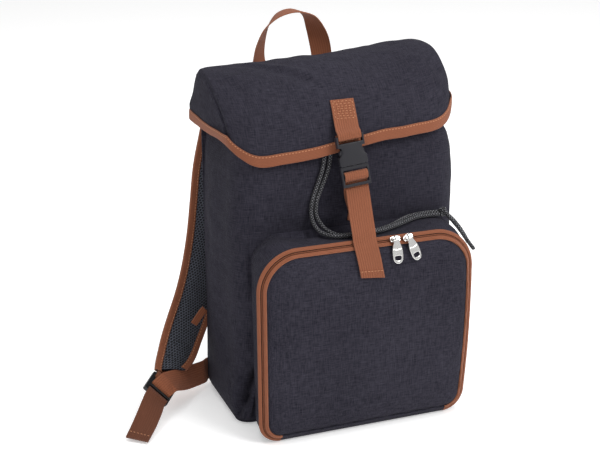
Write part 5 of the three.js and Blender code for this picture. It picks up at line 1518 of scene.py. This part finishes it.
def pull_mesh():
    """Paddle with a crosswise ridge and a slot, and the knuckle that goes round the slider's bar."""
    angle = np.linspace(0, 2 * np.pi, KNUCKLE["sides"], endpoint=False)
    ring = np.stack([np.cos(angle), np.sin(angle)], -1)
    knuckle, knuckle_faces = moulded(KNUCKLE["outer"] * ring, [KNUCKLE["bore"] * ring], KNUCKLE["wide"], 0.4)
    paddle = moulded(rounded(mirrored(PULL_OUTLINE), 5), [rounded(mirrored(PULL_SLOT), 4)], 1.5, 0.45)
    ridge = moulded(rounded(mirrored(PULL_RIDGE), 4), [], 2.0, 0.5)
    return joined((knuckle[:, [2, 1, 0]] * [-1, 1, 1], knuckle_faces), paddle, ridge)


for side, x, turn in SLIDERS:
    middle = np.array([x, (RIM_Y + INNER_Y) / 2, (rim_top + inner_top) / 2])
    seat = middle + band_out * SLIDER["lift"]
    along, up = turned_about((1, 0, 0), band_out, turn), -turned_about(band_down, band_out, turn)
    hard_piece(
        f"zip_slider_{side}_metal", slider_mesh(), seat, (along, up, band_out), nickel,
        f"zip_slider_{side}")
    hinge = seat + band_out * (SLIDER["high"] - SLIDER["sink"] + SLIDER["bridge_rise"] - SLIDER["bar"] / 2)
    hung = [turned_about(v, along, math.degrees(PULL_HANG)) for v in (up, band_out)]
    hard_piece(
        f"zip_pull_{side}_metal", pull_mesh(), hinge, (along, *hung), nickel, f"zip_pull_{side}",
        body=f"pull_{side}")

# %% [markdown]
# ## Back panel and shoulder straps
# The straps are foam between spacer mesh, on the wearer's side, and melange cloth, edged with tan tape.
# They and the back panel are swollen by a short cloth simulation, with air pressure inside and the sewn
# edges pinned, which rounds them as foam does. Each point's move is capped, so pads stay clear of the
# pieces that they lie against.


# %% Inflate a pad
def inflate(made, pinned, cap, pressure=4.0, frames=20):
    """Cloth simulation with pressure, applied to the mesh; pinned is one weight for each point."""
    mesh = made.data
    start = np.zeros(len(mesh.vertices) * 3)
    mesh.vertices.foreach_get("co", start)
    group = made.vertex_groups.new(name="sewn")
    for weight in np.unique(pinned):
        group.add(np.flatnonzero(pinned == weight).tolist(), float(weight), "REPLACE")
    cloth = made.modifiers.new("swell", "CLOTH")
    cloth.settings.vertex_group_mass = "sewn"
    cloth.settings.use_pressure = True
    cloth.settings.uniform_pressure_force = pressure
    cloth.settings.effector_weights.gravity = 0
    cloth.settings.quality = 4
    cloth.collision_settings.use_collision = False
    cloth.point_cache.frame_end = frames
    for f in range(1, frames + 1):
        scene.frame_set(f)
    shape = made.evaluated_get(bpy.context.evaluated_depsgraph_get()).data
    end = np.zeros(len(start))
    shape.vertices.foreach_get("co", end)
    made.modifiers.remove(cloth)
    made.vertex_groups.clear()
    scene.frame_set(1)
    move = (end - start).reshape(-1, 3)
    length = np.linalg.norm(move, axis=1, keepdims=True)
    move *= np.minimum(1, cap * MM / np.maximum(length, 1e-9))
    mesh.vertices.foreach_set("co", (start.reshape(-1, 3) + move).ravel())
    mesh.update()
    print(f"{made.name}: swollen by up to {length.max() / MM:.1f} mm, capped at {cap} mm")


RAY_START = 12


def laid_on(made, path, up):
    """A line moved along its normals onto a piece's surface."""
    mesh = made.data
    surface = BVHTree.FromPolygons([v.co for v in mesh.vertices], [p.vertices for p in mesh.polygons])
    hits = [surface.ray_cast(Vector((p + RAY_START * n) * MM), Vector(-n))[0] for p, n in zip(path, up)]
    return np.array([p if hit is None else np.array(hit) / MM for p, hit in zip(path, hits)]), up


# %% Spacer mesh finish
MESH_SLANT = math.radians(52)
MESH_DARK = (0.034, 0.037, 0.050)
MESH_LIGHT = (0.125, 0.135, 0.170)
# Painted shade inside the mesh's holes.
MESH_HOLE_SHADE = (0.005, 0.005, 0.008)


def make_mesh_cloth():
    """Knitted spacer mesh: slanted rows of small holes in bluish black yarn."""
    finish, tree, surface, body = new_finish(
        "mesh_cloth", Roughness=0.8, Sheen_Weight=0.1, Specular_IOR_Level=0.3)
    turned = {"Vector": cloth_lines(tree), "Angle": MESH_SLANT}
    slanted = put(tree, "ShaderNodeVectorRotate", turned, rotation_type="Z_AXIS")
    axes = put(tree, "ShaderNodeSeparateXYZ", {0: slanted.outputs[0]}).outputs
    rows = sums(tree, "MULTIPLY", axes[1], 330.0)
    stagger = sums(tree, "MULTIPLY", sums(tree, "FLOOR", rows), 0.5)
    columns = sums(tree, "ADD", sums(tree, "MULTIPLY", axes[0], 270.0), stagger)
    across_row = sums(tree, "SINE", sums(tree, "MULTIPLY", sums(tree, "FRACT", rows), math.pi))
    along_row = sums(tree, "ABSOLUTE", sums(tree, "SINE", sums(tree, "MULTIPLY", columns, math.pi)))
    hole = ranged(tree, sums(tree, "MULTIPLY", across_row, along_row), 0.22, 0.55)
    yarn = drifting(tree, body, 400.0, 0.6, MESH_DARK, MESH_LIGHT)
    # The holes are painted near black: painted shade inside them.
    colour = blend_colours(tree, hole, yarn, MESH_HOLE_SHADE)
    set_surface(tree, surface, colour, sums(tree, "SUBTRACT", 1.0, hole), 0.0008, strength=0.8)
    return finish


mesh_cloth = make_mesh_cloth()

# %% Back panel
PAD_CAP = 0.9
BACK = dict(inner=61.8, edge=2.6, pad=3.4, swell=3.0, low=3.2, half=136, shoulder=12, tuck=0.15)


def back_grid(outer):
    """Back panel: flat towards the bag, swelling outwards, rounded at the foot."""
    s = np.sin(np.pi / 2 * np.linspace(-1, 1, 91))[:, None]
    t = (1 - np.cos(np.pi * np.linspace(0, 1, 121)))[None] / 2
    top = flap_point(np.zeros_like(s), s)[..., 2] - CLOTH - 0.3
    z = mix(BACK["low"], top, t)
    foot = np.clip(1 - (z - BACK["low"]) / BACK["shoulder"], 0, 1)
    half = BACK["half"] - BACK["shoulder"] * BACK["tuck"] * foot ** 2
    fullness = (1 - s ** 4) * (1 - (2 * t - 1) ** 6)
    depth = BACK["edge"] + fullness * (BACK["pad"] + BACK["swell"] * (1 - s ** 2)) if outer else 0 * z
    return np.stack([s * half, BACK["inner"] + depth, z], -1)


def make_back():
    """Padded back panel with a row of stitches near its edge."""
    face, flat = back_grid(True), back_grid(False)
    points, faces = shell(face, flat)
    cloth = np.tile(face.reshape(-1, 3)[:, [0, 2, 1]], (2, 1))
    made = piece("body_back_pad", points, faces, melange, cloth, node="body_back")
    free = (BACK["half"] - np.abs(face[..., 0]) > 8) & (np.abs(face[..., 2] - 190) < 160)
    inflate(made, np.concatenate([1.0 - free.ravel(), np.ones(free.size)]), PAD_CAP)
    edge = np.concatenate([face[6:-6, 5], face[-7, 5:-5], face[6:-6, -6][::-1], face[6, 5:-5][::-1]])
    row = laid_on(made, edge, np.tile([0.0, 1, 0], (len(edge), 1)))
    stitches("body_back_stitches", [row], dark_thread)


make_back()

# %% Shoulder pads
PAD_ROW = "x y z half turn"
PAD_LEFT = table(
    PAD_ROW,
    (-98, 70.5, 386, 24, 0), (-100, 75, 356, 26, 0), (-105, 82.5, 320, 27, 0), (-112, 91, 276, 27, 0),
    (-116.5, 96, 230, 27, 2), (-122.5, 95.5, 187, 27, 4), (-133, 89.5, 146, 27, 8), (-149, 79, 106, 26.5, 12),
    (-170, 60, 72, 25, 14), (-184, 43, 52, 22, 14), (-194, 31, 42, 17, 14))
PAD_RIGHT = table(
    PAD_ROW,
    (60, 72, 386, 24, 0), (60.5, 76.4, 356, 26, 0), (62, 86, 322, 27, 0), (65, 97, 276, 27, 0),
    (69, 105, 230, 27, 0), (75, 108, 187, 27, 0), (82, 105, 148, 27, 0), (89, 99, 118, 25, 0),
    (94, 94, 98, 21, 0), (97, 91, 86, 17, 0))
PAD_EDGE = 1.5
PAD_MIDDLE = 4.4
PAD_TAPE = 7
PAD_SLANT = 9
PAD_SLANT_REACH = 45
PAD_STEP = 3.0
PAD_BOX = dict(start=38, stop=13, half=11)


def pad_thickness(edge):
    """Half thickness of a pad at a distance from its edge."""
    return PAD_EDGE + 0.1 + (PAD_MIDDLE - PAD_EDGE) * ease((edge - 7.2) / 9.5)


def pad_binding(name, path, across, out, half, sign, node):
    """Tape folded round one edge of a pad; gives the lines of its stitches on both faces."""
    slot = 2 * PAD_EDGE + 0.8
    at = path + across * (sign * half)[:, None] + out * (slot / 2)
    points, faces, cloth = sweep(at, across * sign, out, fold_section(slot, PAD_TAPE, PAD_TAPE, 0.25))
    piece(name, points, faces, tape, cloth, node=node)
    inset = at - across * (sign * (PAD_TAPE - 1.6))
    return [(inset + out * (BIND_LEG + 0.15), out), (inset - out * (slot + BIND_LEG + 0.05), -out)]


def make_pad(side, rows, sense):
    """Pad of one strap with its tapes; the face towards the bag is spacer mesh."""
    line = route(rows, PAD_STEP)
    path, half = line[:, :3], line[:, 3]
    across, out = strip_frames(path, heading(line[:, 4]))
    run = run_length(path)
    leaning = PAD_SLANT * ease((run - run[-1]) / PAD_SLANT_REACH + 1)
    slant = unit(np.gradient(path, axis=0)) * leaning[:, None]
    a = (half[:, None] - 0.3) * np.sin(np.linspace(-1, 1, 33) * np.pi / 2)[None]
    edge = half[:, None] - np.abs(a)
    leaned = slant[:, None] * (sense * a / half[:, None])[..., None]
    middle = path[:, None] + across[:, None] * a[..., None] + leaned
    front, rear = (middle + out[:, None] * (sign * pad_thickness(edge))[..., None] for sign in (1, -1))
    points, faces = shell(front, rear)
    length = np.broadcast_to(run[:, None], a.shape)
    cloth = np.tile(np.stack([a, length, 0 * a], -1).reshape(-1, 3), (2, 1))
    made = piece(
        f"strap_{side}_padding", points, faces, mesh_cloth, cloth,
        node=f"strap_{side}_pad")
    made.data.materials.append(melange)
    behind = np.arange(len(faces)) >= len(grid_faces(*a.shape))
    made.data.polygons.foreach_set("material_index", behind.astype(np.int32))
    sewn = (edge < 8) | (np.minimum(length, length[-1] - length) < 7)
    inflate(made, np.tile(sewn.ravel().astype(float), 2), PAD_CAP)
    keep = slice(len(path) // 14, None)
    rows_of_stitches = []
    for part, sign in (("outer", sense), ("inner", -sense)):
        bound = (path + slant * sign * sense)[keep]
        rows_of_stitches += pad_binding(
            f"strap_{side}_binding_{part}_tape", bound, across[keep], out[keep], half[keep], sign,
            f"strap_{side}_binding_{part}")
    stitches(f"strap_{side}_stitches", rows_of_stitches)
    end = length[-1, 0]
    sewn_box = box_marks(end - PAD_BOX["start"], end - PAD_BOX["stop"], PAD_BOX["half"])
    lines = [laid_on(made, *on_strip(path, across, out, marks)) for marks in sewn_box]
    stitches(f"strap_{side}_box", lines, dark_thread)


make_pad("left", PAD_LEFT, -1)
make_pad("right", PAD_RIGHT, 1)

# %% [markdown]
# ## Locks, loops and lower webbing
# A ladder lock hangs from each pad in a loop of webbing, and the lower webbing runs from the bag's
# corner through it to a hemmed tail. The left one is pulled out to the side and its tail lies on the
# floor; the right one hides behind the bag and is made the same way. The left lock sits about 4 mm from
# its solid, where its webbing runs straight through it.

# %% Locks, loops and lower webbing
LOCK_THICK = 4.6
LOCK_OUTLINE = ((16.5, 2.5), (17.7, 1), (17.7, -30.4), (16.5, -31.8))
LOCK_SLOTS = (*LADDER_SLOTS, (-7, -1))
LOCK_SLOT_HALF = 14.2
LOCKS = {
    "left": ((-206.5, 17, 34), (0.654, -0.353, -0.673), (0.577, 0.805, 0.138)),
    "right": ((99.6, 88.2, 77), (-1, 0, -0.1), (-0.1, 0.18, 0.97)),
}
LOOP_RUN = ((2, -3.6), (-1.6, -3.5), (-3.5, -2.3), (-4.2, 0), (-3.5, 2.3), (-1.6, 3.5), (2, 3.5), (6, 2.4))
LOOP_SEWN = {
    "left": ((37.6, 5.7), (27.6, 1.6), (18, -3), (9, -4.6)),
    "right": ((36, -3.2), (27, -3.8), (18, -4.4), (9, -4.7)),
}
RIBBON = "x y z wx wy wz"
WEB_FOOT = {
    "left": (
        (-114, 66.9, 20, 0, 0, 1), (-128, 67.2, 20, 0, 0, 1), (-138, 64.5, 20, -0.04, 0.08, 1),
        (-145.4, 54.5, 21.05, -0.1, 0.2, 1), (-160.3, 43, 23.96, -0.2, 0.32, 0.92),
        (-178.5, 28, 28.7, -0.3, 0.4, 0.86)),
    "right": ((126, 65.7, 10, 0.9, 0, 0.45), (121, 67, 22, 0.9, 0, 0.42), (113, 72, 42, 0.95, 0, 0.3)),
}
WEB_THROUGH = {
    "left": (
        (6, 2, 7), (3.6, -4, 6.4), (2.4, -9.5, 4.8), (1.6, -13.2, 2), (1.4, -15.4, -1.4),
        (1.4, -18.6, -3.6), (1.4, -21.6, -3.4), (1.4, -24, -1), (1.4, -26, 2.2), (1.4, -28.6, 3.7),
        (1.4, -32, 3.8), (1.4, -37, 2)),
    "right": LADDER_WRAP,
}
WEB_TAIL = {
    "left": (
        (-232.7, -24, 23.74, -0.72, 0.4, 0.5), (-245, -40, 13.55, -0.78, 0.5, 0.24),
        (-259.2, -57.5, 4.264, -0.8, 0.58, 0.06)),
    "right": (
        (104.5, 90, 26, 1, 0, 0.05), (105, 97, 12, 1, 0, 0), (106, 109, 4, 1, 0, 0), (107, 126, 2, 1, 0, 0)),
}


def make_lock(side):
    """Ladder lock with its loop and the lower webbing that runs through it."""
    at, across, up = (np.array(v, float) for v in LOCKS[side])
    v = unit(up)
    u = unit(across - (across @ v) * v)
    n = np.cross(u, v)
    shift = WEB_THROUGH[side][-1][0]
    slots = ladder_slots(LOCK_SLOTS, LOCK_SLOT_HALF, shift)
    lock = moulded(mirrored(LOCK_OUTLINE), slots, LOCK_THICK, 0.7)
    hard_piece(
        f"strap_{side}_lock_moulding", lock, at, (u, v, n), black_plastic,
        f"strap_{side}_lock")
    loop = at + np.array(LOOP_SEWN[side] + LOOP_RUN) @ np.stack([v, n])
    strip(f"strap_{side}_loop_webbing", route(table(XYZ, *loop), 1.0), u, f"strap_{side}_loop")
    through = at + np.array(WEB_THROUGH[side]) @ np.stack([u, v, n])
    through = np.hstack([through, np.tile(-u, (len(through), 1))])
    line = route(table(RIBBON, *WEB_FOOT[side], *through, *WEB_TAIL[side]), 1.2)
    path, across, out = strip(
        f"strap_{side}_lower_webbing", line[:, :3], line[:, 3:], f"strap_{side}_webbing", hem=TAIL_HEM,
        finish=low_webbing)
    end = run_length(path)[-1]
    row = [(end - TAIL_HEM + 1, -13), (end - TAIL_HEM + 1, 13)]
    upward = out * np.sign(out[-8, 2])
    stitches(f"strap_{side}_tail_stitches", [on_strip(path, across, upward, row, HEM_LIFT)])
    print(side, "lower webbing:", round(end), "mm")


make_lock("left")
make_lock("right")

# %% Side tab
SIDE_TAB = table(
    RIBBON, (-140.8, 57.3, 104.5, -0.6, 0, 0.8), (-145, 56.5, 101, -0.65, 0, 0.76),
    (-150.5, 55.5, 94.5, -0.73, 0, 0.68), (-156.5, 54.5, 87.5, -0.73, 0, 0.68))
SIDE_TAB_WIDTH = 9
SIDE_TAB_RIBS = 4
SIDE_TAB_RIB_DEPTH = 0.12
tab_line = route(SIDE_TAB, 0.8)
strip(
    "side_tab_tape", tab_line[:, :3], tab_line[:, 3:], "side_tab", SIDE_TAB_WIDTH, SIDE_TAB_RIBS,
    SIDE_TAB_RIB_DEPTH)

# %% [markdown]
# ## Studio
# The picture shows the bag on white, in soft light from above and the upper right. A wide pale floor,
# an even white surround and large soft lamps give that, with a light contact shadow under the bag.

# %% Floor, surround and lamps
FLOOR_REACH = 8.0
SURROUND = 0.55
FLOOR_DROP = 0.0004
FLOOR_GLOW = 0.32
LAMP_TARGET = Vector((0, 0, 0.22))
LAMPS = (
    ("key", (1.2, -1.9, 2.2), 1.3, 46),
    ("top", (0.2, 0.2, 2.6), 2.2, 32),
    ("fill", (-2, -1.6, 1.2), 1.6, 3))


def make_floor():
    """Matt white paper, brightened a little so that it stays white where the lamps fall off."""
    finish, tree, surface, body = new_finish(
        "floor_paper", Roughness=0.9, Specular_IOR_Level=0.1, Emission_Color=(1, 1, 1, 1),
        Emission_Strength=FLOOR_GLOW)
    colour = drifting(tree, body, 1.5, 0.02, (0.9, 0.9, 0.9), (0.96, 0.96, 0.96))
    set_surface(tree, surface, colour, noise(tree, body, 400.0), 0.0001, strength=0.1)
    mesh = bpy.data.meshes.new("floor")
    around = ((-1, -1), (1, -1), (1, 1), (-1, 1))
    corners = [(x * FLOOR_REACH, y * FLOOR_REACH, -FLOOR_DROP) for x, y in around]
    mesh.from_pydata(corners, [], [(0, 1, 2, 3)])
    mesh.materials.append(finish)
    floor = bpy.data.objects.new("floor", mesh)
    scene.collection.objects.link(floor)


def lamp(name, at, size, power):
    """Large soft area lamp aimed at the bag."""
    data = bpy.data.lights.new(name, "AREA")
    data.shape = "DISK"
    data.size = size
    data.energy = power
    made = bpy.data.objects.new(name, data)
    made.location = at
    made.rotation_euler = (LAMP_TARGET - Vector(at)).to_track_quat("-Z", "Y").to_euler()
    scene.collection.objects.link(made)


make_floor()
for settings in LAMPS:
    lamp(*settings)
world = bpy.data.worlds.new("surround")
world.use_nodes = True
world.node_tree.nodes["Background"].inputs["Color"].default_value = (1, 1, 1, 1)
world.node_tree.nodes["Background"].inputs["Strength"].default_value = SURROUND
scene.world = world
scene.view_settings.view_transform = "Standard"
print("studio:", len(LAMPS), "lamps")
